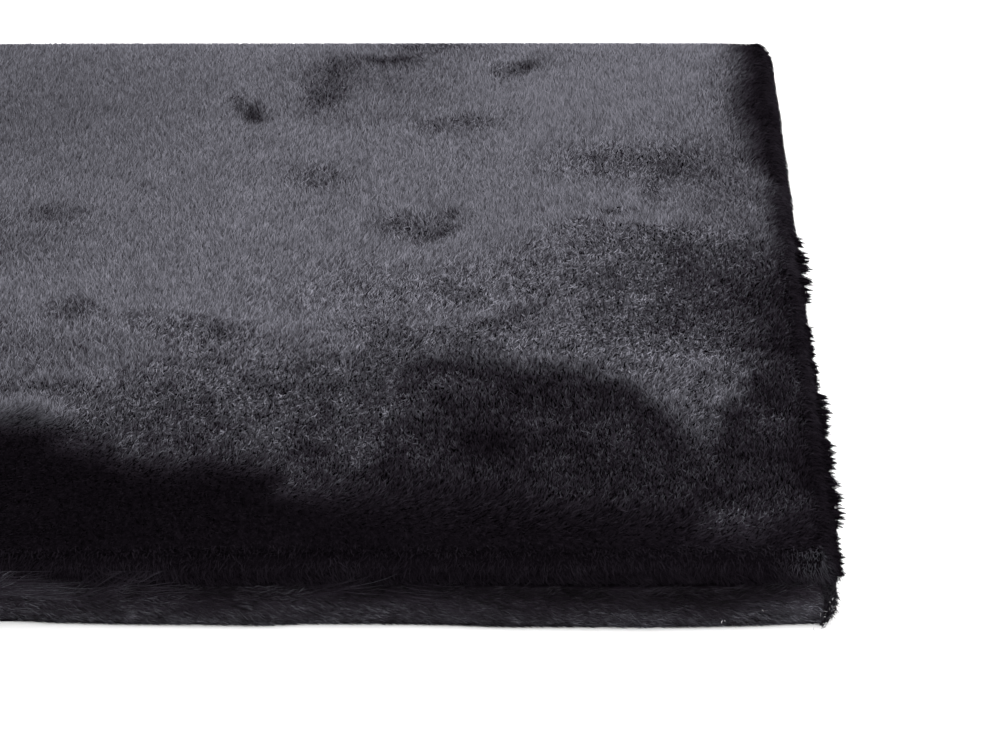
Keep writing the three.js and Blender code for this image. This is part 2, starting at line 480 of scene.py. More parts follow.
    def on_roll(self, along: Array, up: Array) -> tuple[Array, Array, Array]:
        """Finds places on the roll.

        Args:
            along: Distances along the outline.
            up: Distances up the section from the crease.

        Returns:
            The places, the surface's outward directions, and the directions down the section.
        """
        inset, high = self._section(up)
        run, rise = self._section(up + 2 * MM) - self._section(up - 2 * MM)
        place, out = self.outline(along)
        relief = self.relief(place[..., 0], place[..., 1]) * eased(inset, 0, self.relief_fade)
        points = np.concatenate([place - out * inset[..., None], (high + relief)[..., None]], axis=-1)
        upward = unit(np.concatenate([-out * run[..., None], rise[..., None]], axis=-1))
        forward = np.concatenate([np.stack([-out[..., 1], out[..., 0]], -1), np.zeros((*inset.shape, 1))], -1)
        return points, unit(np.cross(forward, upward)), -upward


# Hairs


@dataclass
class Strands:
    """Many hairs as arrays with a row for each hair, from the root to the tip."""

    paths: Array
    widths: Array
    tones: Array
    places: Array
    turns: Array

    BAKE_PIXELS = 1024
    BAKE_SPOT = 0.9

    def _sides(self) -> Array:
        """Direction across each hair, turned about the hair."""
        way = unit(self.paths[:, -1] - self.paths[:, 0])
        level = unit(np.cross(way, UP) + 1e-6)
        other = np.cross(level, way)
        return level * np.cos(self.turns)[:, None] + other * np.sin(self.turns)[:, None]

    def build(self, name: str) -> bpy.types.Object:
        """Makes one mesh of all the hairs, each a flat blade that ends in a point.

        Args:
            name: Name of the piece.

        Returns:
            The piece.
        """
        count, points = self.paths.shape[:2]
        sides = self._sides()
        corners, tones = [], []
        for k in range(points - 1):
            half = 0.5 * self.widths * (1 - k / (points - 1)) ** 0.6
            corners += [self.paths[:, k] - sides * half[:, None], self.paths[:, k] + sides * half[:, None]]
            tones += [self.tones[:, k]] * 2
        corners.append(self.paths[:, -1])
        tones.append(self.tones[:, -1])
        each = len(corners)
        faces = []
        for k in range(0, each - 3, 2):
            faces += [(k, k + 1, k + 3), (k, k + 3, k + 2)]
        faces.append((each - 3, each - 2, each - 1))
        index = (np.arange(count)[:, None, None] * each + np.array(faces)[None]).reshape(-1, 3)
        mesh = bpy.data.meshes.new(name)
        mesh.vertices.add(count * each)
        mesh.vertices.foreach_set("co", np.stack(corners, 1).astype(np.float32).ravel())
        mesh.loops.add(index.size)
        mesh.loops.foreach_set("vertex_index", index.astype(np.int32).ravel())
        mesh.polygons.add(len(index))
        mesh.polygons.foreach_set("loop_start", np.arange(0, index.size, 3, dtype=np.int32))
        mesh.update(calc_edges=True)
        stored = mesh.attributes.new("tone", "FLOAT", "POINT")
        stored.data.foreach_set("value", np.stack(tones, 1).astype(np.float32).ravel())
        spot = self.BAKE_SPOT / self.BAKE_PIXELS * np.array([[-1.0, -1.0], [1.0, -1.0], [0.0, 1.0]])
        middle = np.clip(self.places, 0.002, 0.998)
        spots = middle[:, None, None, :] + np.broadcast_to(spot, (count, len(faces), 3, 2))
        layer = mesh.uv_layers.new(name="OFBake")
        layer.uv.foreach_set("vector", spots.astype(np.float32).ravel())
        return placed(bpy.data.objects.new(name, mesh))


def placed(piece: bpy.types.Object) -> bpy.types.Object:
    """Links a new piece into the scene."""
    bpy.context.scene.collection.objects.link(piece)
    return piece


def meshed(name: str, mesh: bmesh.types.BMesh) -> bpy.types.Object:
    """Turns a finished bmesh into a smoothly shaded piece.

    Args:
        name: Name of the piece.
        mesh: The bmesh, which is freed.

    Returns:
        The piece.
    """
    data = bpy.data.meshes.new(name)
    mesh.to_mesh(data)
    mesh.free()
    data.shade_smooth()
    return placed(bpy.data.objects.new(name, data))


def toned(mesh: bpy.types.Mesh, tones: Array) -> None:
    """Stores how light each point of a mesh is."""
    mesh.attributes.new("tone", "FLOAT", "POINT").data.foreach_set("value", tones.astype(np.float32))


def dressed(piece: bpy.types.Object, finish: Any) -> bpy.types.Object:
    """Gives a piece its finish, and lets it ride on the rug's body.

    Args:
        piece: The piece to dress.
        finish: Its finish.

    Returns:
        The same piece.
    """
    piece.data.materials.append(finish.material())
    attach(piece, BODY)
    LOG.info("%s: %d faces", piece.name, len(piece.data.polygons))
    return piece


def clumps(x: Array, y: Array, pitch: float, noise: Noise) -> tuple[Array, Array, Array]:
    """Finds the clump that each hair belongs to.

    Args:
        x: Places along X.
        y: Places along Y.
        pitch: Distance between clumps.
        noise: Where the clumps' uneven places come from.

    Returns:
        The middle of each hair's clump in X and in Y, and a number from 0 to 1 for the clump.
    """
    column, row = np.floor(x / pitch).astype(int), np.floor(y / pitch).astype(int)
    best = np.full(x.shape, np.inf)
    middle_x, middle_y, luck = np.zeros_like(x), np.zeros_like(y), np.zeros_like(x)
    for i in (-1, 0, 1):
        for j in (-1, 0, 1):
            there_x = (column + i + noise.cell(column + i, row + j)) * pitch
            there_y = (row + j + noise.cell(row + j + 91, column + i + 37)) * pitch
            distance = (there_x - x) ** 2 + (there_y - y) ** 2
            nearer = distance < best
            best = np.where(nearer, distance, best)
            middle_x = np.where(nearer, there_x, middle_x)
            middle_y = np.where(nearer, there_y, middle_y)
            luck = np.where(nearer, noise.cell(column + i + 53, row + j + 11), luck)
    return middle_x, middle_y, luck


def scattered(size: tuple[float, float], count: int, seed: int) -> tuple[Array, Array]:
    """Spreads about that many places evenly but not in rows over a rectangle.

    Args:
        size: Both sides of the rectangle.
        count: How many places.
        seed: Seed of the unevenness.

    Returns:
        The places along each side, from 0.
    """
    dice = np.random.default_rng(seed)
    columns = round(math.sqrt(count * size[0] / size[1]))
    rows = round(count / columns)
    i, j = np.meshgrid(np.arange(columns), np.arange(rows), indexing="ij")
    x = (i.ravel() + dice.random(i.size)) * size[0] / columns
    y = (j.ravel() + dice.random(j.size)) * size[1] / rows
    return x, y


# How the pile of the top lies


def rows_of(kind: type, *rows: tuple) -> tuple:
    """Makes one object of a kind from each row, which holds its fields in order."""
    return tuple(kind(*row) for row in rows)


@dataclass(frozen=True)
class Brushed:
    """A place where the pile was brushed another way, painted with its own sheen and shade, lighter or
    darker. Sizes are in millimetres, turn in degrees.
    """

    x: float
    y: float
    along: float
    across: float
    turn: float
    shade: float
    rough: float = 0.3
    sway: float = 0.0
    crisp: float = 1.25

    def share(self, x: Array, y: Array) -> Array:
        """How much of this place each spot has, from 0 to 1."""
        angle = math.radians(self.turn)
        dx, dy = x / MM - self.x, y / MM - self.y
        lengthways = (dx * math.cos(angle) + dy * math.sin(angle)) / self.along
        sideways = (dy * math.cos(angle) - dx * math.sin(angle)) / self.across
        return np.exp(-np.minimum(lengthways**2 + sideways**2, 9.0) ** self.crisp)


@dataclass(frozen=True)
class Border:
    """A line across the top past which the pile falls another way and is painted with another shade.

    Rows of it are a place along the border's axis, where the border is there, and how far it fades, all
    in millimetres.
    """

    rows: tuple[tuple[float, float, float], ...]
    shade: float
    rough: float
    sway: float = 0.0

    def share(self, at: Array, value: Array) -> Array:
        """How far each spot lies past the border, from 0 to 1.

        Args:
            at: Places along the border's axis.
            value: The other coordinate, which falls as the border is passed.

        Returns:
            The share of each spot.
        """
        places, border, fade = np.array(self.rows).T * MM
        width = np.interp(at, places, fade)
        return eased((np.interp(at, places, border) - value) / width, -0.5, 1.0)


@dataclass
class Lie:
    """How the pile lies at many spots: its shade, how uneven it is from 0 to 1, and its turn sideways."""

    shade: Array
    rough: Array
    sway: Array

    def lay(self, place: Any, share: Array) -> None:
        """Lays a brushed place, or the far side of a border, over what is there."""
        self.shade += (place.shade - self.shade) * share
        self.rough += (place.rough - self.rough) * share
        self.sway += (place.sway - self.sway) * share


@dataclass
class Nap:
    """Painted shade and sheen, and the direction, of the pile over the top. A shade is a grey from 0 to 1 as
    it looks, with the light and shade that fall on the pile painted in.
    """

    form: RugForm
    # Painted sheen of the plain top, which is lighter than the sides
    plain: float = 0.41
    # Broad places of painted sheen and shade
    broad: tuple[Brushed, ...] = rows_of(
        Brushed,
        (30, 190, 120, 110, 0, 0.355, 0.1), (-7, 21, 110, 40, 0, 0.32, 0.2),
        (75, -105, 60, 40, -8, 0.348, 0.2), (-282, 145, 130, 110, 0, 0.37, 0.2),
        (190, 20, 80, 50, 0, 0.41, 0.1), (240, 10, 40, 16, 0, 0.415, 0.1),
        (333, 190, 50, 40, 10, 0.425, 0.05), (385, 229, 36, 40, 0, 0.425, 0.05),
        (374, 114, 46, 24, 4, 0.325, 0.35, 0, 1.6), (418, 95, 26, 60, 0, 0.315, 0.25),
        (425, 215, 16, 60, 0, 0.36, 0.2), (234, 222, 44, 34, 0, 0.345, 0.15),
        (256, -46, 60, 36, 0, 0.38, 0.3, -20), (96, -150, 24, 8, -10, 0.27, 0.4),
        (159, -92, 34, 16, -20, 0.318, 0.4, -25), (342, -22, 40, 40, 0, 0.3, 0.45, -30),
        (378, -90, 54, 35, -4, 0.262, 0.6, -35, 1.8), (402, 18, 46, 12, 0, 0.29, 0.5, -30),
        (392, -30, 36, 50, 0, 0.215, 0.7, -45, 1.8), (448, -50, 42, 76, 0, 0.135, 0.5, -60, 1.6),
        (300, -98, 24, 16, 0, 0.305, 0.4, -35),
    )
    # Where the slope in the middle of the front begins, past which it is painted darker as shade
    slope: Border = Border(
        (
            (40, -400, 60), (88, -220, 60), (112, -150, 58), (130, -140, 58), (150, -118, 60),
            (200, -108, 64), (232, -106, 60), (250, -92, 56), (266, -92, 44), (285, -124, 30),
            (300, -400, 30),
        ),
        0.232,
        0.6,
        -40,
    )
    # Where the front begins, painted dark as shade since it faces away from the light
    front: Border = Border(
        (
            (-450, -234, 34), (-353, -202, 38), (-277, -209, 34), (-200, -237, 30), (-122, -218, 36),
            (-44, -182, 36), (14, -178, 34), (78, -172, 30), (88, -172, 28), (98, -174, 26), (107, -181, 26),
            (120, -196, 24), (137, -213, 24), (159, -218, 24), (180, -218, 22), (204, -220, 26),
            (213, -240, 26), (223, -243, 30), (236, -240, 44), (260, -240, 60), (304, -239, 64),
            (381, -258, 56), (450, -262, 56),
        ),
        0.109,
        0.06,
    )
    # Where the hollow and the right-hand corner begin, both painted dark as shade
    hollow: Border = Border(
        (
            (225, -284, 24), (236, -252, 24), (244, -222, 24), (252, -186, 24), (257, -162, 24),
            (267, -118, 20), (282, -106, 24), (303, -105, 32), (328, -118, 17), (347, -123, 14),
            (358, -130, 15), (372, -144, 22), (385, -166, 34), (394, -184, 36), (404, -151, 34),
            (410, -139, 24), (418, -128, 18), (425, -110, 16), (432, -46, 14), (452, 20, 12),
        ),
        0.149,
        0.45,
    )
    # Where the pile falls over the other sides and is painted dark as shade: places along the side, and
    # insets from it
    rims: dict[Side, Border] = field(
        default_factory=lambda: {
            Side.RIGHT: Border(
                (
                    (-300, 14, 10), (20, 17, 12), (44, 14, 11), (75, 18, 12), (102, 15, 12), (130, 23, 16),
                    (175, 30, 18), (210, 29, 16), (300, 24, 14),
                ),
                0.135,
                0.3,
            ),
            Side.LEFT: Border(((-300, 22, 10), (-80, 14, 8), (120, 18, 10), (300, 25, 13)), 0.13, 0.3),
            Side.BACK: Border(((-450, 9, 6), (450, 8, 6)), 0.13, 0.3),
        }
    )
    # Small places of painted sheen and shade, where the pile is brushed another way
    brushed: tuple[Brushed, ...] = rows_of(
        Brushed,
        # Painted highlight on the ridge above the hollow, and painted shade in its fork
        (331, -109, 27, 8, -6, 0.325, 0.5, -40, 1.6), (361, -123, 18, 7, -20, 0.285, 0.5, -45, 1.6),
        (384, -142, 18, 12, -32, 0.355, 0.4, -50, 1.6), (393, -170, 8, 20, 6, 0.25, 0.5, -50),
        (394, -205, 5, 14, 6, 0.19, 0.5, -50), (402, -133, 12, 7, 40, 0.24, 0.5, -45),
        (424, -114, 9, 8, 0, 0.2, 0.5, -45), (436, -92, 20, 20, 0, 0.145, 0.4, -50),
        (281, -92, 22, 7, 18, 0.3, 0.5, -40),
        # The hollow's own spots of painted shade, lighter and darker
        (268, -130, 12, 6, 0, 0.14, 0.5), (282, -142, 16, 14, 0, 0.2, 0.6),
        (360, -184, 15, 12, 0, 0.168, 0.6), (261, -166, 11, 14, 0, 0.225, 0.6),
        (261, -204, 10, 22, 0, 0.185, 0.6), (299, -199, 18, 16, 0, 0.098, 0.4),
        (319, -172, 12, 9, 20, 0.155, 0.6), (335, -246, 14, 9, 0, 0.155, 0.5),
        (368, -252, 20, 9, 8, 0.16, 0.5), (381, -232, 10, 8, 0, 0.15, 0.5),
        (404, -272, 18, 14, 10, 0.195, 0.6), (424, -256, 14, 10, 0, 0.165, 0.5),
        (424, -176, 13, 9, 20, 0.185, 0.6, -60), (416, -160, 10, 6, 30, 0.18, 0.6, -60),
        (422, -206, 14, 9, 0, 0.11, 0.4), (446, -215, 14, 60, 0, 0.11, 0.3),
        # The mottled slope left of the hollow, in spots of painted shade
        (214, -127, 5, 8, 0, 0.21, 0.5), (225, -121, 7, 6, 0, 0.24, 0.5), (250, -96, 10, 7, 0, 0.24, 0.5),
        (202, -150, 8, 6, 0, 0.19, 0.5), (225, -171, 4, 22, 4, 0.165, 0.5), (219, -213, 8, 7, 0, 0.14, 0.5),
        (226, -236, 10, 10, 0, 0.185, 0.5), (214, -242, 14, 5, 42, 0.2, 0.5, -40),
        (168, -136, 8, 16, 0, 0.31, 0.5, -30), (184, -165, 8, 14, 0, 0.26, 0.5, -40),
        (137, -152, 6, 6, 0, 0.21, 0.4), (148, -147, 5, 5, 0, 0.24, 0.4), (170, -93, 8, 9, 0, 0.27, 0.4),
        (167, -207, 9, 6, 0, 0.19, 0.5), (116, -196, 12, 10, 30, 0.2, 0.5),
        # The band of dimples that runs down to the left, painted dark as shade
        (313, -66, 14, 6, 64, 0.21, 0.4), (302, -82, 12, 8, 10, 0.235, 0.4), (257, -100, 12, 8, 0, 0.25, 0.5),
        (237, -88, 13, 9, 0, 0.3, 0.4), (285, -48, 13, 13, 10, 0.265, 0.5), (276, -36, 7, 8, 0, 0.28, 0.4),
        (320, -38, 8, 8, 0, 0.28, 0.5),
        # The patch at the right, painted dark as shade
        (347, 12, 14, 12, 0, 0.28, 0.5), (360, 52, 8, 4, 20, 0.31, 0.4), (372, 30, 14, 8, -10, 0.27, 0.5),
        (389, 15, 14, 10, -30, 0.225, 0.6), (398, -14, 12, 10, 0, 0.19, 0.6), (424, 2, 18, 10, 0, 0.19, 0.6),
        (374, -43, 12, 9, 0, 0.285, 0.6), (342, 31, 12, 8, 0, 0.3, 0.5), (357, -27, 8, 14, 0, 0.23, 0.6),
        (352, -58, 8, 9, 0, 0.225, 0.6), (394, -62, 12, 10, 0, 0.225, 0.6), (374, -20, 10, 8, 20, 0.25, 0.6),
        # Dimples of the light part, painted dark as shade
        (212, 205, 34, 11, 82, 0.265, 0.3), (216, 244, 14, 10, 60, 0.25, 0.3),
        (244, 255, 19, 9, -6, 0.19, 0.3), (270, 276, 30, 10, 0, 0.29, 0.3),
        (316, 247, 12, 4.5, 50, 0.19, 0.3), (304, 240, 8, 6, 20, 0.31, 0.3), (305, 254, 9, 4, 50, 0.43, 0.1),
        (176, 180, 14, 6.5, 108, 0.16, 0.3), (166, 192, 12, 6, 130, 0.3, 0.3),
        (283, 164, 24, 12, 8, 0.3, 0.3), (226, 170, 34, 10, 0, 0.365, 0.15), (210, 94, 15, 16, 0, 0.33, 0.3),
        (262, 35, 18, 12, 8, 0.28, 0.4), (271, 29, 13, 7, 60, 0.22, 0.4), (280, 50, 10, 4, 40, 0.27, 0.4),
        (391, 112, 15, 14, 0, 0.26, 0.4), (380, 80, 6, 13, 0, 0.3, 0.4), (85, 48, 14, 10, 0, 0.315, 0.2),
        (101, -66, 12, 12, 0, 0.3, 0.3),
        # The part that is not seen, brushed and painted with sheen and shade much the same
        (-130, 30, 26, 12, 40, 0.3, 0.4), (-96, 226, 30, 10, -12, 0.29, 0.4),
        (-212, 178, 70, 22, -22, 0.3, 0.4, 50), (-250, 120, 40, 14, -30, 0.33, 0.4, 30),
        (-150, -62, 40, 18, 70, 0.3, 0.4, 60), (-352, -118, 70, 26, 64, 0.27, 0.4, 80),
        (-372, 214, 60, 20, -38, 0.28, 0.4, 60), (-60, -120, 70, 34, 10, 0.32, 0.5, 20),
        (-200, -180, 50, 18, -10, 0.28, 0.4, 30),
    )
    # How far along X and along Y the borders and places wander, and over what length
    bend: tuple[float, float] = (4 * MM, 6 * MM)
    bend_size: float = 15 * MM
    # Where along X the hollow sets in
    hollow_start: tuple[float, float] = (0.215, 0.26)
    rim_wander: float = 3 * MM
    rim_wander_size: float = 24 * MM
    mottle_size: float = 9 * MM
    coarse_size: float = 14 * MM
    # In degrees: how far broad places turn, and how far the pile leans where it is dark and where it is light
    turn: float = 14.0
    turn_size: float = 42 * MM
    leans: tuple[float, float] = (38.0, 62.0)
    seed: int = 11

    def fields(self, x: Array, y: Array) -> tuple[Array, Array, Array, Array]:
        """Works out how the pile lies.

        Args:
            x: Places along X.
            y: Places along Y.

        Returns:
            The shade, how uneven it is from 0 to 1, the direction in plan in which the pile leans, as an
            angle from +X, and how far it leans from the vertical.
        """
        noise = Noise(self.seed)
        x_bent = x + self.bend[0] * noise.layered(x, y, self.bend_size)
        y_bent = y + self.bend[1] * noise.layered(x + 3, y + 5, self.bend_size)
        lie = Lie(np.full_like(x, self.plain), np.full_like(x, 0.1), np.zeros_like(x))
        for place in self.broad:
            lie.lay(place, place.share(x_bent, y_bent))
        past_front = self.front.share(x_bent, y_bent)
        lie.lay(self.slope, self.slope.share(x_bent, y_bent))
        lie.lay(self.hollow, self.hollow.share(x_bent, y_bent) * eased(x, *self.hollow_start))
        lie.lay(self.front, past_front)
        for place in self.brushed:
            lie.lay(place, place.share(x_bent, y_bent))
        wander = self.rim_wander * noise.layered(x, y, self.rim_wander_size)
        insets = {
            Side.RIGHT: self.form.half[0] - x + wander,
            Side.LEFT: self.form.half[0] + x + wander,
            Side.BACK: self.form.half[1] - y + wander,
        }
        falls = {side: self.rims[side].share(x if side is Side.BACK else y, insets[side]) for side in insets}
        shade = lie.shade
        for side, share in falls.items():
            shade += (np.minimum(self.rims[side].shade, shade) - shade) * share
        mottle = noise.smooth(0.47 * x + 0.88 * y, 2.4 * (0.88 * x - 0.47 * y), self.mottle_size)
        coarse = noise.layered(x + 11, y + 17, self.coarse_size)
        uneven = 0.02 + 0.2 * lie.rough
        shade *= 1 + uneven * mottle + uneven * coarse
        angle = math.pi / 2 + np.radians(lie.sway + self.turn * noise.layered(x + 7, y + 2, self.turn_size))
        angle -= past_front * (math.pi + np.radians(lie.sway))
        angle += falls[Side.RIGHT] * (0.15 - angle) + falls[Side.LEFT] * (math.pi - 0.15 - angle)
        dark, light = self.leans
        lean = np.radians(dark + (light - dark) * np.maximum(eased(shade, 0.1, 0.36), past_front))
        return shade, lie.rough, angle, lean


@dataclass
class PileLayer:
    """One kind of hair of the top."""

    name: str
    count: int
    length: float
    width: float
    seed: int
    lightness: float = 1.0
    spread: float = 9.0


@dataclass
class TopPile:
    """The short pile of the top, in layers from the dense underfur to the fine tips."""

    form: RugForm
    nap: Nap
    layers: tuple[PileLayer, ...] = rows_of(
        PileLayer,
        ("underfur", 130_000, 4 * MM, 1.0 * MM, 21, 0.86, 6),
        ("pile_first", 190_000, 3.9 * MM, 0.48 * MM, 22, 0.97),
        ("pile_second", 190_000, 3.7 * MM, 0.44 * MM, 23, 1.03),
        ("pile_tips", 150_000, 4.1 * MM, 0.38 * MM, 24, 1.12, 14),
    )
    clump_pitch: float = 1.6 * MM
    clump_seed: int = 5
    gather: float = 0.3
    # In degrees: how much rough pile turns, hair by hair and clump by clump, and how much it tilts
    rough_turn: float = 85.0
    clump_turn: float = 90.0
    tilt: float = 4.0
    rough_tilt: float = 26.0
    clump_tilt: float = 20.0
    # How far under the surface tips end, and how far over it they may stand
    sunk: float = 0.4 * MM
    proud: float = 1.2 * MM
    albedo: float = 0.6
    # Painted shade deep in the pile: roots darker than tips
    root_tone: float = 0.5
    tip_tone: float = 1.3

    def strands(self, layer: PileLayer) -> Strands:
        """Works out the hairs of one layer.

        Args:
            layer: The layer's sizes.

        Returns:
            The hairs.
        """
        form, dice = self.form, np.random.default_rng(layer.seed)
        half = form.half - form.top_inset
        x, y = scattered((2 * half[0], 2 * half[1]), layer.count, layer.seed)
        x, y = x - half[0], y - half[1]
        shade, rough, angle, lean = self.nap.fields(x, y)
        noise = Noise(self.clump_seed)
        middle_x, middle_y, luck = clumps(x, y, self.clump_pitch, noise)
        other = noise.cell(*(np.floor(middle / MM * 7).astype(int) for middle in (middle_x, middle_y)))
        turn = (layer.spread + self.rough_turn * rough) * dice.normal(size=x.size)
        angle = angle + np.radians(turn + self.clump_turn * (other - 0.5) * rough)
        tilt = (self.tilt + self.rough_tilt * rough) * dice.normal(size=x.size)
        lean = lean + np.radians(tilt + self.clump_tilt * (luck - 0.5) * (0.2 + rough))
        length = layer.length * (0.8 + 0.4 * dice.random(x.size)) * (1.1 - 1.05 * rough).clip(0.4)
        slope_x, slope_y = form.slope(x, y)
        way_x, way_y = np.cos(angle) * np.sin(lean), np.sin(angle) * np.sin(lean)
        way_z = np.cos(lean) + way_x * slope_x + way_y * slope_y
        way = np.stack([way_x, way_y, way_z], 1) * length[:, None]
        way[:, 0] += self.gather * (middle_x - x)
        way[:, 1] += self.gather * (middle_y - y)
        top = form.height(x, y) - self.sunk * dice.random(x.size)
        root = np.stack([x, y, top - np.cos(lean) * length], 1)
        tip = root + way
        tip[:, 2] = np.minimum(tip[:, 2], top + self.proud)
        tones = self._tones(shade, rough, luck, layer.lightness, dice)
        places = np.stack([0.5 + 0.5 * x / half[0], 0.5 + 0.5 * y / half[1]], 1)
        turns = np.radians(HAIR_TURN * dice.normal(size=x.size))
        return Strands(np.stack([root, tip], 1), np.full(x.size, layer.width), tones, places, turns)

    def _tones(
        self, shade: Array, rough: Array, luck: Array, lightness: float, dice: np.random.Generator
    ) -> Array:
        """Works out how light each hair is, with painted shade at the roots, most even where the pile is calm
        or nearly black.

        Args:
            shade: The nap's shade at each hair.
            rough: How uneven the pile is there.
            luck: A number from 0 to 1 for each hair's clump.
            lightness: How light the layer is.
            dice: Source of the unevenness.

        Returns:
            The tones of the roots and of the tips.
        """
        by_clump, by_hair = 0.02 + 1.2 * rough, 0.02 + 1.5 * rough
        odd = by_hair * (dice.normal(size=shade.size).clip(-1.6, 0.9) + 0.05)
        looks = shade * (1 + by_clump * (luck - 0.5) + odd) * lightness
        light = self.albedo * np.clip(looks, 0.02, 1.0) ** GREY_POWER
        calm = (0.6 - 2 * rough).clip(0) + 0.6 * eased(shade, 0.15, 0.11)
        return np.stack([light * (self.root_tone + 0.3 * calm), light * (self.tip_tone - 0.18 * calm)], 1)

    def build(self) -> None:
        """Makes and dresses each layer."""
        for layer in self.layers:
            # The pile's colour is its dye with painted sheen and shade in each hair's tone
            finish = FurFinish(name=f"{layer.name}_dye", slot="fur")
            dressed(self.strands(layer).build(layer.name), finish)


@dataclass
class PanelSkin:
    """The padded panel under the pile: its knitted ground, its sides and its underside."""

    form: RugForm
    nap: Nap
    depth: float = 3.2 * MM
    grid_step: float = 7 * MM
    albedo: float = 0.55
    # Painted shade of the ground's sides under the roll
    side_shade: float = 0.095
    # Insets and heights of the ground from the rim of the top down to the floor
    rows: tuple[tuple[float, float], ...] = (
        (6.2 * MM, 32.6 * MM), (4 * MM, 30 * MM), (2.7 * MM, 26 * MM), (3.4 * MM, 23.6 * MM),
        (6 * MM, 21.4 * MM), (8.5 * MM, 21 * MM), (8.5 * MM, 0.3 * MM),
    )

    def build(self) -> bpy.types.Object:
        """Makes and dresses the skin.

        Returns:
            The piece.
        """
        half = self.form.half - self.form.top_inset
        mesh = bmesh.new()
        counts = [round(2 * h / self.grid_step) for h in half]
        bmesh.ops.create_grid(mesh, x_segments=counts[0], y_segments=counts[1], size=1.0)
        at = np.array([v.co for v in mesh.verts])
        x, y = at[:, 0] * half[0], at[:, 1] * half[1]
        depth = self.depth - 1.7 * MM * eased(half[1] - y, 16 * MM, 3 * MM)
        self._put(mesh.verts, x, y, self.form.height(x, y) - depth)
        self._roll_down(mesh)
        bmesh.ops.recalc_face_normals(mesh, faces=mesh.faces)
        piece = meshed("padded_panel", mesh)
        self._tone(piece.data)
        dressed(piece, BackingFinish(name="knitted_ground", slot="fur"))
        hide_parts("fur_panel")
        return piece

    @staticmethod
    def _put(verts: Any, x: Array, y: Array, z: Array) -> None:
        """Moves points to these places."""
        for vertex, place in zip(verts, np.stack([x, y, z], 1)):
            vertex.co = place

    def _roll_down(self, mesh: bmesh.types.BMesh) -> None:
        """Extrudes the rim of the top down the side to the floor, and closes the underside."""
        form, before = self.form, self.form.top_inset
        for inset, height in self.rows:
            rim = [edge for edge in mesh.edges if edge.is_boundary]
            made = bmesh.ops.extrude_edge_only(mesh, edges=rim)["geom"]
            verts = [part for part in made if isinstance(part, bmesh.types.BMVert)]
            grown = (form.half - inset) / (form.half - before)
            at = np.array([v.co for v in verts])
            x, y = form.rounded(at[:, 0] * grown[0], at[:, 1] * grown[1], inset)
            upper = height > form.roll[1][1]
            relief = form.relief(x, y) * eased(np.array(inset), 0, form.relief_fade) * upper
            self._put(verts, x, y, height + relief)
            before = inset
        bmesh.ops.contextual_create(mesh, geom=[edge for edge in mesh.edges if edge.is_boundary])

    def _tone(self, skin: bpy.types.Mesh) -> None:
        """Gives the ground the painted shade and sheen of the pile above it, and its sides a painted shade.
        """
        at = np.array([v.co for v in skin.vertices])
        shade = self.nap.fields(at[:, 0], at[:, 1])[0]
        on_side = self.form.inset(at[:, 0], at[:, 1]) < self.form.top_inset - 0.1 * MM
        toned(skin, self.albedo * np.where(on_side, self.side_shade, shade) ** GREY_POWER)


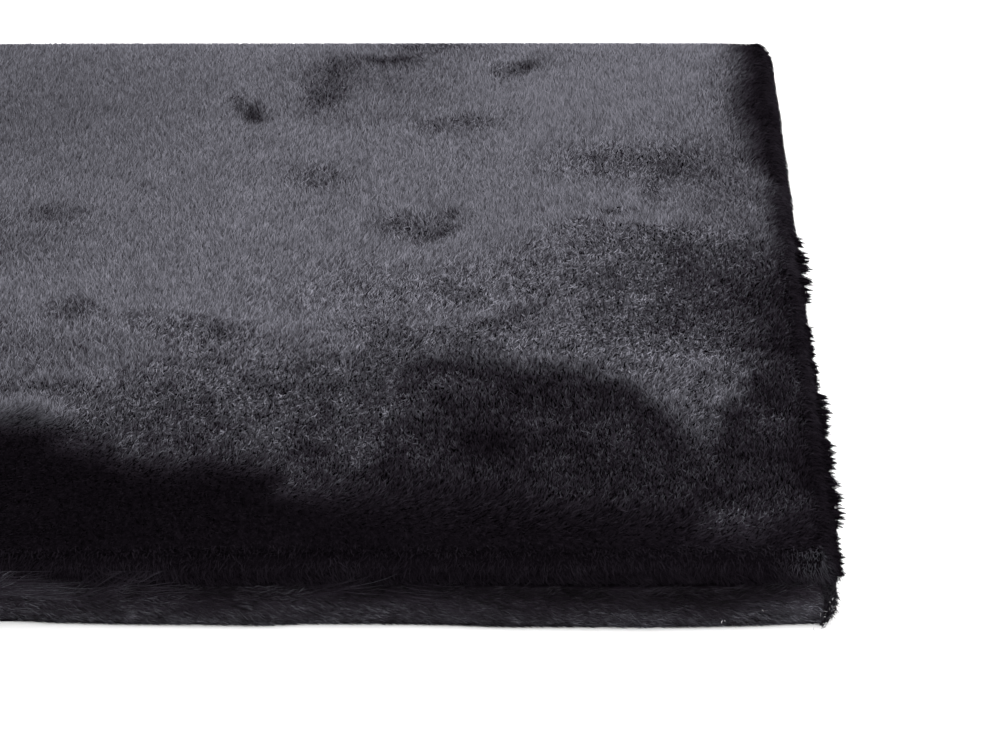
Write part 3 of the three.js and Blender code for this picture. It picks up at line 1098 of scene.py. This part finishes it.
@dataclass
class RollPile:
    """The pile of the roll, which falls outwards and down over the strips."""

    form: RugForm
    nap: Nap
    count: int = 118_000
    length: float = 5.5 * MM
    width: float = 0.55 * MM
    # How much longer the hair gets in places above the crease
    overhang: float = 4 * MM
    lean: float = 58.0
    # How steeply the front's pile rises, in degrees, at shares of the way up
    rises: tuple[tuple[float, float], ...] = ((0.0, -46), (0.3, -24), (0.6, 4), (1.0, 27))
    # Turns of the hair sideways in degrees, over broad places, by clump and by hair
    broad_turn: float = 22.0
    clump_turn: float = 24.0
    hair_turn: float = 12.0
    clump_pitch: float = 2.2 * MM
    clump_seed: int = 6
    albedo: float = 0.6
    seed: int = 31
    # Painted shade of the roll, darkest at the front, and how the hair turns from straight down the section,
    # for each side
    shades: dict[Side, float] = field(
        default_factory=lambda: {Side.FRONT: 0.109, Side.RIGHT: 0.152, Side.BACK: 0.125, Side.LEFT: 0.125}
    )
    sways: dict[Side, float] = field(
        default_factory=lambda: {Side.FRONT: -12.0, Side.RIGHT: -50.0, Side.BACK: 20.0, Side.LEFT: 35.0}
    )

    def build(self) -> None:
        """Makes and dresses the pile of the roll."""
        form, dice, noise = self.form, np.random.default_rng(self.seed), Noise(self.clump_seed)
        size = (form.perimeter(), form.roll_length())
        along, up = scattered(size, self.count, self.seed)
        on_back = form.outline(along)[1][:, 1] > 0.5
        kept = on_back | (dice.random(up.size) > eased(up / size[1], 0.84, 1.0))
        along, up = along[kept], up[kept]
        level, none = up / size[1], np.zeros_like(up)
        point, normal, down = form.on_roll(along, up)
        forward, out = np.cross(normal, down), form.outline(along)[1]
        weights = {side: np.maximum(out @ np.array(side.value), 0.0) ** 2 for side in Side}
        middle_along, _, luck = clumps(along, up, self.clump_pitch, noise)
        slow = noise.layered(along, up * 2, 26 * MM)
        shade = self._shade(point, weights, level) * (1 + 0.22 * weights[Side.FRONT])
        shade *= 1 + 0.12 * slow + 0.08 * (luck - 0.5)
        wobble = self.broad_turn * slow + self.clump_turn * (luck - 0.5)
        wobble = wobble + self.hair_turn * dice.normal(size=along.size)
        way = self._way(normal, down, out, weights, level, wobble, dice)
        near_top = eased(level, 0.3, 1.0)
        ragged = (0.2 + 0.8 * noise.layered(along, none, 17 * MM) + 1.2 * (luck - 0.4)).clip(0, 1.4)
        ragged *= eased(level, 0.5, 0.1)
        length = (self.length - 1.5 * MM * near_top) * (0.75 + 0.5 * dice.random(along.size))
        length += self.overhang * ragged
        proud = 0.3 * noise.layered(along, none + 1, 26 * MM).clip(0) * (1 - near_top)
        sunk = (way * normal).sum(1).clip(0.1) * length * (0.95 - proud)
        root = point - normal * sunk[:, None]
        root[:, :2] += out * (0.9 * MM * ragged)[:, None]
        tip = root + way * length[:, None] + 0.15 * (middle_along - along)[:, None] * forward
        light = self.albedo * (shade * (1 + 0.1 * dice.normal(size=along.size)).clip(0.3)) ** GREY_POWER
        # Roots darker than tips, as painted shade in the pile
        strands = Strands(
            np.stack([root, tip], 1),
            np.full(along.size, self.width),
            np.stack([light * (0.85 - 0.2 * near_top), light * (1.15 + 0.1 * near_top)], 1),
            np.stack([along / size[0], level], 1),
            np.radians(HAIR_TURN * dice.normal(size=along.size)),
        )
        dressed(strands.build("roll_pile"), FurFinish(name="roll_pile_dye", slot="fur"))

    def _shade(self, point: Array, weights: dict[Side, Array], level: Array) -> Array:
        """Works out the roll's painted shade, which turns into the top's on the way up: darker on the right
        towards the front and low on the section, lighter near the front right corner, and lifted with painted
        light just above the crease.

        Args:
            point: Where the hairs stand.
            weights: How far each hair faces each side.
            level: How far up the section each stands, from 0 to 1.

        Returns:
            The shades.
        """
        inner = self.form.half - self.form.top_inset
        shade = sum(weights[side] * self.shades[side] for side in Side)
        shade *= 1 - 0.24 * weights[Side.RIGHT] * eased(point[:, 1], -0.14, -0.21)
        x, y = (np.clip(point[:, axis], -inner[axis], inner[axis]) for axis in (0, 1))
        shade += (self.nap.fields(x, y)[0] - shade) * eased(level, 0.45, 1.0)
        near_corner = eased(point[:, 0], 0.416, 0.44) * weights[Side.FRONT]
        near_corner *= 0.5 + 0.5 * eased(level, 0.1, 0.5)
        shade = shade * (1 - 0.15 * eased(level, 0.5, 0.2)) * (1 + 0.8 * near_corner)
        return shade * (1 + 0.45 * eased(level, 0.16, 0.04))

    def _way(
        self,
        normal: Array,
        down: Array,
        out: Array,
        weights: dict[Side, Array],
        level: Array,
        wobble: Array,
        dice: np.random.Generator,
    ) -> Array:
        """Works out which way the hairs point: down the section, but outwards on the front.

        Args:
            normal: The surface's outward directions.
            down: Directions down the section.
            out: Outward directions in plan.
            weights: How far each hair faces each side.
            level: How far up the section each stands, from 0 to 1.
            wobble: How far each turns sideways, in degrees.
            dice: Source of the unevenness.

        Returns:
            The directions.
        """
        sway = sum(weights[side] * self.sways[side] for side in Side)
        turn, lean = np.radians(sway + wobble), np.radians(self.lean + 7 * dice.normal(size=level.size))
        forward = np.cross(normal, down)
        flat = down * np.cos(turn)[:, None] + forward * np.sin(turn)[:, None]
        way = normal * np.cos(lean)[:, None] + flat * np.sin(lean)[:, None]
        rise = np.radians(read(self.rises, level) + self.hair_turn * dice.normal(size=level.size))
        turn = np.radians(wobble + 55 * eased(level, 0.5, 0.05))
        plane = np.concatenate([out, np.zeros((level.size, 1))], 1) * np.cos(turn)[:, None]
        plane += forward * np.sin(turn)[:, None]
        outward = plane * np.cos(rise)[:, None] + UP * np.sin(rise)[:, None]
        return unit(way + (outward - way) * eased(weights[Side.FRONT], 0, 0.7)[:, None])


@dataclass
class EdgeStrip:
    """One sewn strip: its folded ground, and its pile, which is combed along the edge."""

    side: Side
    node: str
    wave: float = 0.4 * MM
    depth: float = 1.5 * MM
    steps: int = 48
    density: float = 2.1e6
    length: float = 4.4 * MM
    width: float = 0.42 * MM
    lean: float = 63.0
    # Painted shade and sheen from the crease down to the floor, by height: darkest in the shadow under the
    # roll, lighter towards the floor where the combed pile shows sheen
    shades: tuple[tuple[float, float], ...] = (
        (0.0, 0.212), (5 * MM, 0.207), (9 * MM, 0.175), (14 * MM, 0.136), (18 * MM, 0.112), (21 * MM, 0.125),
    )
    # Painted lighter and darker places of the front strip's shade, in mm: along X, height, half sizes, and
    # factor
    spots: tuple[tuple[float, float, float, float, float], ...] = (
        (106, 18, 26, 5, 1.65), (393, 15, 18, 6, 0.7), (177, 15, 9, 5, 0.7), (427, 10, 14, 8, 1.35),
        (440, 16, 9, 6, 1.4), (130, 14, 16, 3, 0.85), (262, 15, 14, 5, 1.2), (340, 13, 20, 5, 0.85),
        (208, 15, 16, 4, 1.35), (244, 14, 22, 4, 1.15),
    )
    # How far the front strip bows out, in mm: place along X and distance
    bow: tuple[tuple[float, float], ...] = (
        *((-450, 0), (60, -1), (90, -3.6), (112, -1.6), (144, -0.3), (198, 1.2), (219, -0.8)),
        *((265, -0.7), (285, 0.3), (303, 2), (365, 3), (412, 1), (432, -0.5)),
    )
    albedo: float = 0.6
    thick: float = 8 * MM
    # Highest place that a tip reaches, unless it crosses the crease
    highest: float = 21 * MM
    cut_end_hairs: int = 1100
    cut_end_shade: float = 0.16
    seed: int = 41
    # Lengths of the two waves that the strip's face follows
    swells: tuple[float, float] = (33 * MM, 71 * MM)
    clump_pitch: float = 1.6 * MM
    # Insets and heights of the outer face from the floor up
    face: tuple[tuple[float, float], ...] = (
        (4.6 * MM, 0.2 * MM), (2 * MM, 4 * MM), (0.6 * MM, 10 * MM), (0.8 * MM, 17 * MM),
        (1.7 * MM, 20.5 * MM),
    )
    out: Array = field(init=False)
    forward: Array = field(init=False)
    run: float = field(init=False)
    edge: float = field(init=False)
    has_cut_ends: bool = field(init=False)

    def __post_init__(self) -> None:
        """Reads the strip's place from the frame."""
        low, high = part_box(self.node)
        self.out = np.array([*self.side.value, 0.0])
        self.forward = np.array([-self.out[1], self.out[0], 0.0])
        ends = (np.array(low) @ np.abs(self.forward), np.array(high) @ np.abs(self.forward))
        self.run = float(ends[1] - ends[0])
        reach = max(abs(float(np.array(corner) @ self.out)) for corner in (low, high))
        self.edge = round(reach, 3)
        self.has_cut_ends = self.side in (Side.LEFT, Side.RIGHT)

    def at(self, along: Array, inset: Array, height: Array) -> Array:
        """Places on the strip, from the distance along it, the inset from its face and the height."""
        swell = np.sin(along / self.swells[0]) * np.sin(along / self.swells[1] + 1)
        out = self.edge - inset - self.wave * swell
        if self.has_cut_ends:
            out = out - 1.3 * MM * eased(np.abs(along), self.run / 2 - 16 * MM, self.run / 2)
        if self.side is Side.FRONT:
            out = out + MM * read(self.bow, along / MM)
        return self.forward * along[:, None] + self.out * out[:, None] + UP * height[:, None]

    def ground(self) -> bpy.types.Object:
        """Makes and dresses the folded ground.

        Returns:
            The piece.
        """
        rows = [(inset + self.depth, height) for inset, height in self.face]
        rows += [(self.thick - 0.2 * MM, self.face[-1][1]), (self.thick - 0.2 * MM, self.face[0][1])]
        insets, heights = np.array(rows).T
        mesh = bmesh.new()
        run = self.run - (7 * MM if self.has_cut_ends else 0.0)
        section = [mesh.verts.new(p) for p in self.at(np.full(len(rows), -run / 2), insets, heights)]
        end = bmesh.ops.contextual_create(mesh, geom=section)["faces"]
        none = np.zeros(self.steps + 1)
        for shift in np.diff(self.at(np.linspace(-run / 2, run / 2, self.steps + 1), none, none), axis=0):
            made = bmesh.ops.extrude_face_region(mesh, geom=end)["geom"]
            verts = [part for part in made if isinstance(part, bmesh.types.BMVert)]
            bmesh.ops.translate(mesh, verts=verts, vec=Vector(shift))
            end = [part for part in made if isinstance(part, bmesh.types.BMFace)]
        bmesh.ops.recalc_face_normals(mesh, faces=mesh.faces)
        name = f"strip_ground_{self.side.name.lower()}"
        piece = meshed(name, mesh)
        at = np.array([v.co for v in piece.data.vertices])
        # The ground takes the strip's painted shade and sheen
        toned(piece.data, self.albedo * self._shade(at[:, 0], at[:, 2]) ** GREY_POWER)
        dressed(piece, BackingFinish(name=f"{name}_knit", slot="edge_fur"))
        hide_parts(self.node)
        return piece

    def _shade(self, x: Array, height: Array) -> Array:
        """Painted shade and sheen of the strip at places along X and heights."""
        shade = read(self.shades, height)
        if self.side is Side.FRONT:
            for middle_x, middle_z, half_x, half_z, factor in self.spots:
                far = ((x / MM - middle_x) / half_x) ** 2 + ((height / MM - middle_z) / half_z) ** 2
                shade = shade * (1 + (factor - 1) * np.exp(-far))
        return shade

    def _cut_ends(self, dice: np.random.Generator) -> tuple[Array, Array, Array, Array]:
        """Works out the ragged pile that hides both cut ends.

        Args:
            dice: Source of the unevenness.

        Returns:
            The roots, the tips, how light the hairs are, and their places in the bake.
        """
        count = self.cut_end_hairs * 2
        end = np.where(np.arange(count) % 2 == 0, 1.0, -1.0)
        height = (4.6 + 15.7 * dice.random(count)) * MM
        inner = np.interp(height, [row[1] for row in self.face], [row[0] for row in self.face])
        inset = inner + (self.thick - inner) * dice.random(count)
        root = self.at(end * (self.run / 2 - 4 * MM), inset, height)
        spread = 1.3 * MM * dice.normal(size=(count, 3))
        ahead = (1.1 * MM + 1.1 * MM * dice.random(count)) * end
        spread -= self.forward * (spread @ self.forward)[:, None]
        tip = root + spread + self.forward * ahead[:, None] + self.out * (0.4 * MM)
        tip[:, 2] = np.clip(tip[:, 2] - 0.6 * MM, 1.5 * MM, self.highest)
        shade = self.cut_end_shade * (0.65 + 0.6 * dice.random(count))
        shade = shade * (0.95 + 0.35 * eased(height, 10 * MM, 14 * MM))
        places = np.stack([0.5 + 0.49 * end, height / self.highest], 1)
        return root, tip, self.albedo * shade**GREY_POWER, places

    def _combed(self, along: Array, up: Array, dice: np.random.Generator) -> tuple[Array, Array, Array]:
        """Works out the pile that is combed along the outer face.

        Args:
            along: Places along the strip, from its start.
            up: Places up its outer face.
            dice: Source of the single hairs' unevenness.

        Returns:
            The roots, the tips, and how light the hairs are.
        """
        rows, noise, none = np.array(self.face), Noise(self.seed), np.zeros_like(up)
        inset, height = (np.interp(up, walked(rows), column) for column in rows.T)
        centred = along - self.run / 2
        slow = noise.layered(centred, up * 3, 24 * MM)
        luck = clumps(along * 0.35, up, self.clump_pitch, noise)[2]
        lean = np.radians(self.lean + 5 * dice.normal(size=along.size))
        rise = np.radians(18 * slow + 16 * dice.normal(size=along.size) - 4)
        near_crease = eased(height, 12 * MM, 19 * MM)
        rise += np.radians(26 * near_crease * (0.4 + noise.layered(centred, none, 12 * MM)))
        length = self.length * (0.7 + 0.6 * dice.random(along.size))
        tip_inset = inset + 0.6 * MM * dice.random(along.size)
        root = self.at(centred, tip_inset + np.cos(lean) * length, height)
        ahead = np.sin(lean) * length
        last = self.run / 2 + (-1.5 * MM if self.has_cut_ends else 1 * MM)
        tip_along = np.clip(centred + ahead * np.cos(rise), -last, last)
        tip_height = np.clip(height + ahead * np.sin(rise), 0.2 * MM, self.highest)
        # Some of the highest hair crosses the crease
        over = eased(height, 12 * MM, 18 * MM) * dice.random(along.size) ** 0.5
        over *= (0.6 + 1.3 * noise.layered(centred, none, 8 * MM)).clip(0, 1)
        tip_inset = np.maximum(tip_inset, np.interp(tip_height, rows[:, 1], rows[:, 0]))
        tip = self.at(tip_along, tip_inset - (tip_inset + 1.1 * MM) * over, tip_height + 4 * MM * over)
        broad = noise.smooth(centred, none, 55 * MM)
        uneven = 3.4 * MM * noise.layered(centred, none + 2, 21 * MM)
        shade = self._shade(root[:, 0], height + uneven) * (1 + 0.14 * broad + 0.25 * slow)
        shade *= 1 + 0.8 * (luck - 0.5) + 0.36 * dice.normal(size=along.size)
        return root, tip, self.albedo * shade.clip(0.03) ** GREY_POWER

    def pile(self) -> bpy.types.Object:
        """Makes and dresses the pile of the outer face.

        Returns:
            The piece.
        """
        dice, size = np.random.default_rng(self.seed), (self.run, float(walked(self.face)[-1]))
        along, up = scattered(size, round(self.density * size[0] * size[1]), self.seed)
        root, tip, light = self._combed(along, up, dice)
        places = np.stack([along / size[0], up / size[1]], 1)
        if self.has_cut_ends:
            end_root, end_tip, end_light, end_places = self._cut_ends(dice)
            root, tip = np.concatenate([root, end_root]), np.concatenate([tip, end_tip])
            light, places = np.concatenate([light, end_light]), np.concatenate([places, end_places])
        # Roots darker than tips, as painted shade in the pile
        strands = Strands(
            np.stack([root, tip], 1),
            np.full(len(root), self.width),
            np.stack([light * 0.6, light * 1.3], 1),
            places,
            np.radians(90 + HAIR_TURN * dice.normal(size=len(root))),
        )
        name = f"strip_pile_{self.side.name.lower()}"
        return dressed(strands.build(name), FurFinish(name=f"{name}_dye", slot="edge_fur", gloss=0.06))


def side_axes(side: Side, form: RugForm) -> tuple[Array, Array, float]:
    """Finds a side's own axes.

    Args:
        side: The side.
        form: The rug's form.

    Returns:
        The outward direction, the direction along the side, and how far the side is from the centre.
    """
    out = np.array([*side.value, 0.0])
    return out, np.abs(out[[1, 0, 2]]), float(np.abs(out[:2]) @ form.half)


@dataclass(frozen=True)
class Ruffle:
    """A ruffled place of the rim. Sizes are in millimetres."""

    side: Side
    at: float
    span: float
    locks: int
    reach: float


@dataclass
class RimLocks:
    """Pointed locks that stand out of the roll where the pile is ruffled."""

    form: RugForm
    ruffles: tuple[Ruffle, ...] = rows_of(
        Ruffle,
        (Side.RIGHT, 19, 66, 24, 6), (Side.RIGHT, -66, 24, 8, 2.2), (Side.RIGHT, -98, 40, 11, 2.2),
        (Side.RIGHT, -138, 28, 12, 6), (Side.RIGHT, -156, 32, 14, 4.2), (Side.RIGHT, -181, 30, 12, 5.5),
        (Side.RIGHT, -207, 24, 8, 4), (Side.RIGHT, -230, 38, 15, 6.2), (Side.RIGHT, -282, 22, 8, 2.5),
        (Side.BACK, 240, 44, 13, 4), (Side.BACK, -34, 26, 9, 3), (Side.BACK, -290, 48, 14, 5.5),
        (Side.LEFT, 190, 36, 11, 3.5), (Side.LEFT, 64, 46, 14, 5.5), (Side.LEFT, -102, 22, 8, 3),
        (Side.LEFT, -216, 40, 12, 4.5), (Side.FRONT, -158, 24, 8, 3), (Side.FRONT, -318, 38, 12, 5.5),
    )
    # How many locks stand for each one of a ruffle, and hairs for each lock
    crowd: float = 2.4
    hairs: int = 30
    spread: float = 1.1 * MM
    sweep: float = 3 * MM
    width: float = 0.36 * MM
    root_inset: float = 4.5 * MM
    heights: tuple[float, float] = (23.5 * MM, 31 * MM)
    shade: float = 0.105
    albedo: float = 0.6
    seed: int = 51

    def build(self) -> bpy.types.Object:
        """Makes and dresses the locks.

        Returns:
            The piece.
        """
        dice = np.random.default_rng(self.seed)
        roots, tips = [], []
        for ruffle in self.ruffles:
            out, forward, edge = side_axes(ruffle.side, self.form)
            count = round(ruffle.locks * self.crowd)
            share = (np.arange(count) + dice.random(count)) / count - 0.5
            along = (ruffle.at + ruffle.span * 1.1 * share) * MM
            reach = ruffle.reach * MM * (0.35 + 0.7 * dice.random(count)) * (1 - 1.6 * share**2)
            high = dice.uniform(*self.heights, count)
            sweep = -self.sweep * (0.2 + dice.random(count))
            root = out * (edge - self.root_inset) + forward * along[:, None]
            root[:, 2] += high
            tip = out * (edge + reach)[:, None] + forward * (along + sweep)[:, None]
            tip[:, 2] += high + 3 * MM * (dice.random(count) - 0.6)
            roots.append(root)
            tips.append(tip)
        root, tip = (np.repeat(np.concatenate(ends), self.hairs, 0) for ends in (roots, tips))
        root = root + self.spread * dice.normal(size=root.shape) * 0.8
        tip = tip + 0.16 * MM * dice.normal(size=tip.shape)
        middle = 0.45 * root + 0.55 * tip + 0.5 * MM * dice.normal(size=tip.shape)
        light = self.albedo * (self.shade * (1 + 0.2 * dice.normal(size=len(root))).clip(0.3)) ** GREY_POWER
        ring = root[:, :2] / self.form.half
        # Roots darker than tips, as painted shade in the lock
        strands = Strands(
            np.stack([root, middle, tip], 1),
            np.full(len(root), self.width),
            np.stack([light * 0.8, light, light * 1.2], 1),
            0.5 + 0.48 * ring,
            np.radians(60 * dice.normal(size=len(root))),
        )
        return dressed(strands.build("rim_locks"), FurFinish(name="rim_lock_dye", slot="fur"))


@dataclass(frozen=True)
class Wisp:
    """A thin sheaf of long hair that lies over the crease. Sizes are in mm, rise in degrees."""

    side: Side
    along: float
    height: float
    length: float
    rise: float
    shade: float = 0.25
    hairs: int = 36


@dataclass
class CreaseWisps:
    """Long pale hair that crosses the crease between the roll and the strips."""

    form: RugForm
    wisps: tuple[Wisp, ...] = rows_of(
        Wisp,
        (Side.FRONT, 78, 20, 26, 18, 0.25, 44), (Side.FRONT, 92, 21, 32, -10, 0.26, 60),
        (Side.FRONT, 84, 23, 30, -6, 0.2, 44), (Side.FRONT, 104, 23, 22, -30, 0.2, 26),
        (Side.FRONT, 128, 16, 26, 34, 0.19, 30), (Side.FRONT, 140, 24, 26, -32, 0.2, 30),
        (Side.FRONT, 152, 18, 24, 12, 0.2, 26), (Side.FRONT, 188, 17, 22, -8, 0.17, 24),
        (Side.FRONT, 226, 18, 28, 8, 0.18, 30), (Side.FRONT, 262, 18, 24, -10, 0.2, 34),
        (Side.FRONT, 306, 17, 24, 8, 0.17, 26), (Side.FRONT, 352, 18, 22, -6, 0.17, 22),
        (Side.FRONT, 408, 18, 20, 10, 0.18, 30), (Side.FRONT, -60, 19, 30, 12, 0.2),
        (Side.FRONT, -150, 20, 26, -16, 0.2), (Side.FRONT, -240, 18, 30, 14, 0.2),
        (Side.FRONT, -330, 19, 24, -12, 0.19), (Side.FRONT, -410, 18, 26, 10, 0.19),
        (Side.RIGHT, -180, 20, 26, 10, 0.22), (Side.RIGHT, -40, 20, 30, -10, 0.22),
        (Side.RIGHT, 140, 19, 26, 8, 0.22), (Side.BACK, -260, 20, 30, 10, 0.22),
        (Side.BACK, -40, 19, 26, -10, 0.22), (Side.BACK, 210, 20, 30, 8, 0.22),
        (Side.LEFT, -170, 20, 26, 10, 0.22), (Side.LEFT, 60, 19, 30, -10, 0.22),
    )
    # Heights, and insets of the strip and the roll there, in mm
    face: tuple[tuple[float, float], ...] = (
        (4, 2), (10, 0.6), (16, 1), (20, 1.6), (23, 0.6), (26, 0), (31, 1.6),
    )
    points: int = 5
    width: float = 0.2 * MM
    albedo: float = 0.5
    seed: int = 61

    def build(self) -> bpy.types.Object:
        """Makes and dresses the wisps.

        Returns:
            The piece.
        """
        dice = np.random.default_rng(self.seed)
        paths, tones = [], []
        for wisp in self.wisps:
            out, forward, edge = side_axes(wisp.side, self.form)
            count = wisp.hairs
            start = wisp.along + 6 * dice.normal(size=count)
            high = wisp.height + 2.2 * dice.normal(size=count)
            rise = np.radians(wisp.rise + 7 * dice.normal(size=count))
            length = wisp.length * (0.5 + 0.5 * dice.random(count))
            bend = 0.8 * dice.normal() + 0.25 * dice.normal(size=count) + 0.5
            steps = np.linspace(0, 1, self.points)[None, :]
            turn = rise[:, None] * (1 - 1.2 * bend[:, None] * steps)
            along = start[:, None] + length[:, None] * steps * np.cos(turn)
            up = np.clip(high[:, None] + length[:, None] * steps * np.sin(turn), 6, 29)
            face = read(self.face, up)
            proud = 0.2 + 0.7 * np.sin(math.pi * np.minimum(steps * 1.1, 1))
            path = out * (edge - (face - proud)[..., None] * MM) + forward * along[..., None] * MM
            path[..., 2] = up * MM
            paths.append(path)
            light = self.albedo * (wisp.shade * (1 + 0.2 * dice.normal(size=count)).clip(0.3)) ** GREY_POWER
            # Darker where the hairs start, as painted shade at their roots
            tones.append(light[:, None] * np.linspace(0.5, 1.1, self.points)[None, :])
        path = np.concatenate(paths)
        ring = path[:, 0, :2] / self.form.half
        strands = Strands(
            path,
            np.full(len(path), self.width),
            np.concatenate(tones),
            0.5 + 0.48 * ring,
            np.radians(90 + 25 * dice.normal(size=len(path))),
        )
        return dressed(strands.build("crease_wisps"), FurFinish(name="wisp_dye", slot="edge_fur"))


@dataclass
class FrayedThreads:
    """Pale threads and lint at the cut ends of the end strips, and a few specks on the front strip."""

    form: RugForm
    width: float = 0.3 * MM
    points: int = 4
    # Lengths in mm, and how light the threads are
    sizes: tuple[float, float] = (0.6, 2.0)
    tones: tuple[float, float] = (0.15, 0.65)
    # Share of the threads at each corner, by its signs of X and Y; the photo shows the first
    corners: tuple[tuple[int, int, float], ...] = ((1, -1, 1.0), (-1, -1, 0.6), (1, 1, 0.6), (-1, 1, 0.6))
    # Places nearer the middle than this, in mm, have threads at the first corner only
    shown_only: float = 435.0
    seed: int = 71
    # Places on the front face in mm: along X, height, how many threads, and how far they spread
    front: tuple[tuple[float, float, int, float], ...] = (
        (444, 4, 9, 2.0), (441, 2.5, 6, 1.8), (447, 10, 5, 1.8), (443, 8, 4, 1.2), (445, 15, 2, 1.0),
        (417, 10, 2, 0.4), (401, 3, 3, 3.5),
    )

    def build(self) -> bpy.types.Object:
        """Makes and dresses the threads.

        Returns:
            The piece.
        """
        dice = np.random.default_rng(self.seed)
        paths, tones = [], []
        for side_x, side_y, share in self.corners:
            for x, height, count, spread in self.front:
                if share < 1 and x < self.shown_only:
                    continue
                for _ in range(max(2, round(count * share))):
                    start = np.array([x, -self.form.half[1] / MM - 0.3, height])
                    start += np.array([spread, 0.3, spread]) * dice.normal(size=3)
                    start[2] = np.clip(start[2], 1.6, 19)
                    way = np.array([0.6, -0.2, 0.9]) * dice.normal(size=3)
                    way[1] = -abs(way[1])
                    size = dice.uniform(*self.sizes)
                    steps = np.linspace(0, 1, self.points)[:, None]
                    bow = np.array([1.0, 0.0, -0.6]) * dice.normal() * 0.5
                    path = start + way * size * steps + bow * np.sin(math.pi * steps)
                    path[:, 2] = np.maximum(path[:, 2], 0.4)
                    paths.append(path * np.array([side_x, -side_y, 1.0]) * MM)
                    tones.append(np.full(self.points, dice.uniform(*self.tones)))
        path = np.array(paths)
        strands = Strands(
            path,
            np.full(len(path), self.width),
            np.array(tones),
            0.5 + 0.45 * path[:, 0, :2] / self.form.half,
            np.radians(90 * dice.normal(size=len(path))),
        )
        return dressed(strands.build("frayed_threads"), ThreadFinish())


@dataclass
class Studio:
    """Plain pale floor, soft light, and a camera at the photo's viewing angle."""

    target: tuple[float, float, float] = (0.303, -0.0445, 0.0)
    distance: float = 2.3258
    elevation: float = 25.63
    lens: float = 174.9
    sensor: float = 36.0
    floor_size: float = 16.0
    sky: float = 2.3
    key_power: float = 70.0
    key_size: float = 2.4
    key_place: tuple[float, float, float] = (0.1, 0.7, 2.6)

    def build(self) -> None:
        """Makes the floor, the light and the camera."""
        scene = bpy.context.scene
        mesh = bmesh.new()
        bmesh.ops.create_grid(mesh, x_segments=1, y_segments=1, size=self.floor_size / 2)
        floor = meshed("floor", mesh)
        floor.data.materials.append(FloorFinish().material())
        world = bpy.data.worlds.new("studio")
        world.use_nodes = True
        background = world.node_tree.nodes["Background"]
        background.inputs["Color"].default_value = (1.0, 1.0, 1.0, 1.0)
        background.inputs["Strength"].default_value = self.sky
        scene.world = world
        scene.view_settings.view_transform = "Standard"
        target = Vector(self.target)
        lamp = bpy.data.lights.new("key", "AREA")
        lamp.energy, lamp.size = self.key_power, self.key_size
        key = placed(bpy.data.objects.new("key", lamp))
        key.location = self.key_place
        key.rotation_euler = (target - key.location).to_track_quat("-Z", "Y").to_euler()
        lens = bpy.data.cameras.new("camera")
        lens.lens, lens.sensor_width, lens.clip_end = self.lens, self.sensor, 50.0
        camera = placed(bpy.data.objects.new("camera", lens))
        tilt = math.radians(self.elevation)
        camera.location = target + self.distance * Vector((0, -math.cos(tilt), math.sin(tilt)))
        camera.rotation_euler = (target - camera.location).to_track_quat("-Z", "Y").to_euler()
        scene.camera = camera


def main() -> None:
    """Builds the rug and its studio."""
    logging.basicConfig(level=logging.INFO, format="%(name)s: %(message)s")
    form = RugForm()
    nap = Nap(form)
    Studio().build()
    PanelSkin(form, nap).build()
    TopPile(form, nap).build()
    RollPile(form, nap).build()
    for side in Side:
        strip = EdgeStrip(side, f"edge_strip_{side.name.lower()}")
        strip.ground()
        strip.pile()
    RimLocks(form).build()
    CreaseWisps(form).build()
    FrayedThreads(form).build()


if __name__ == "__main__":
    main()
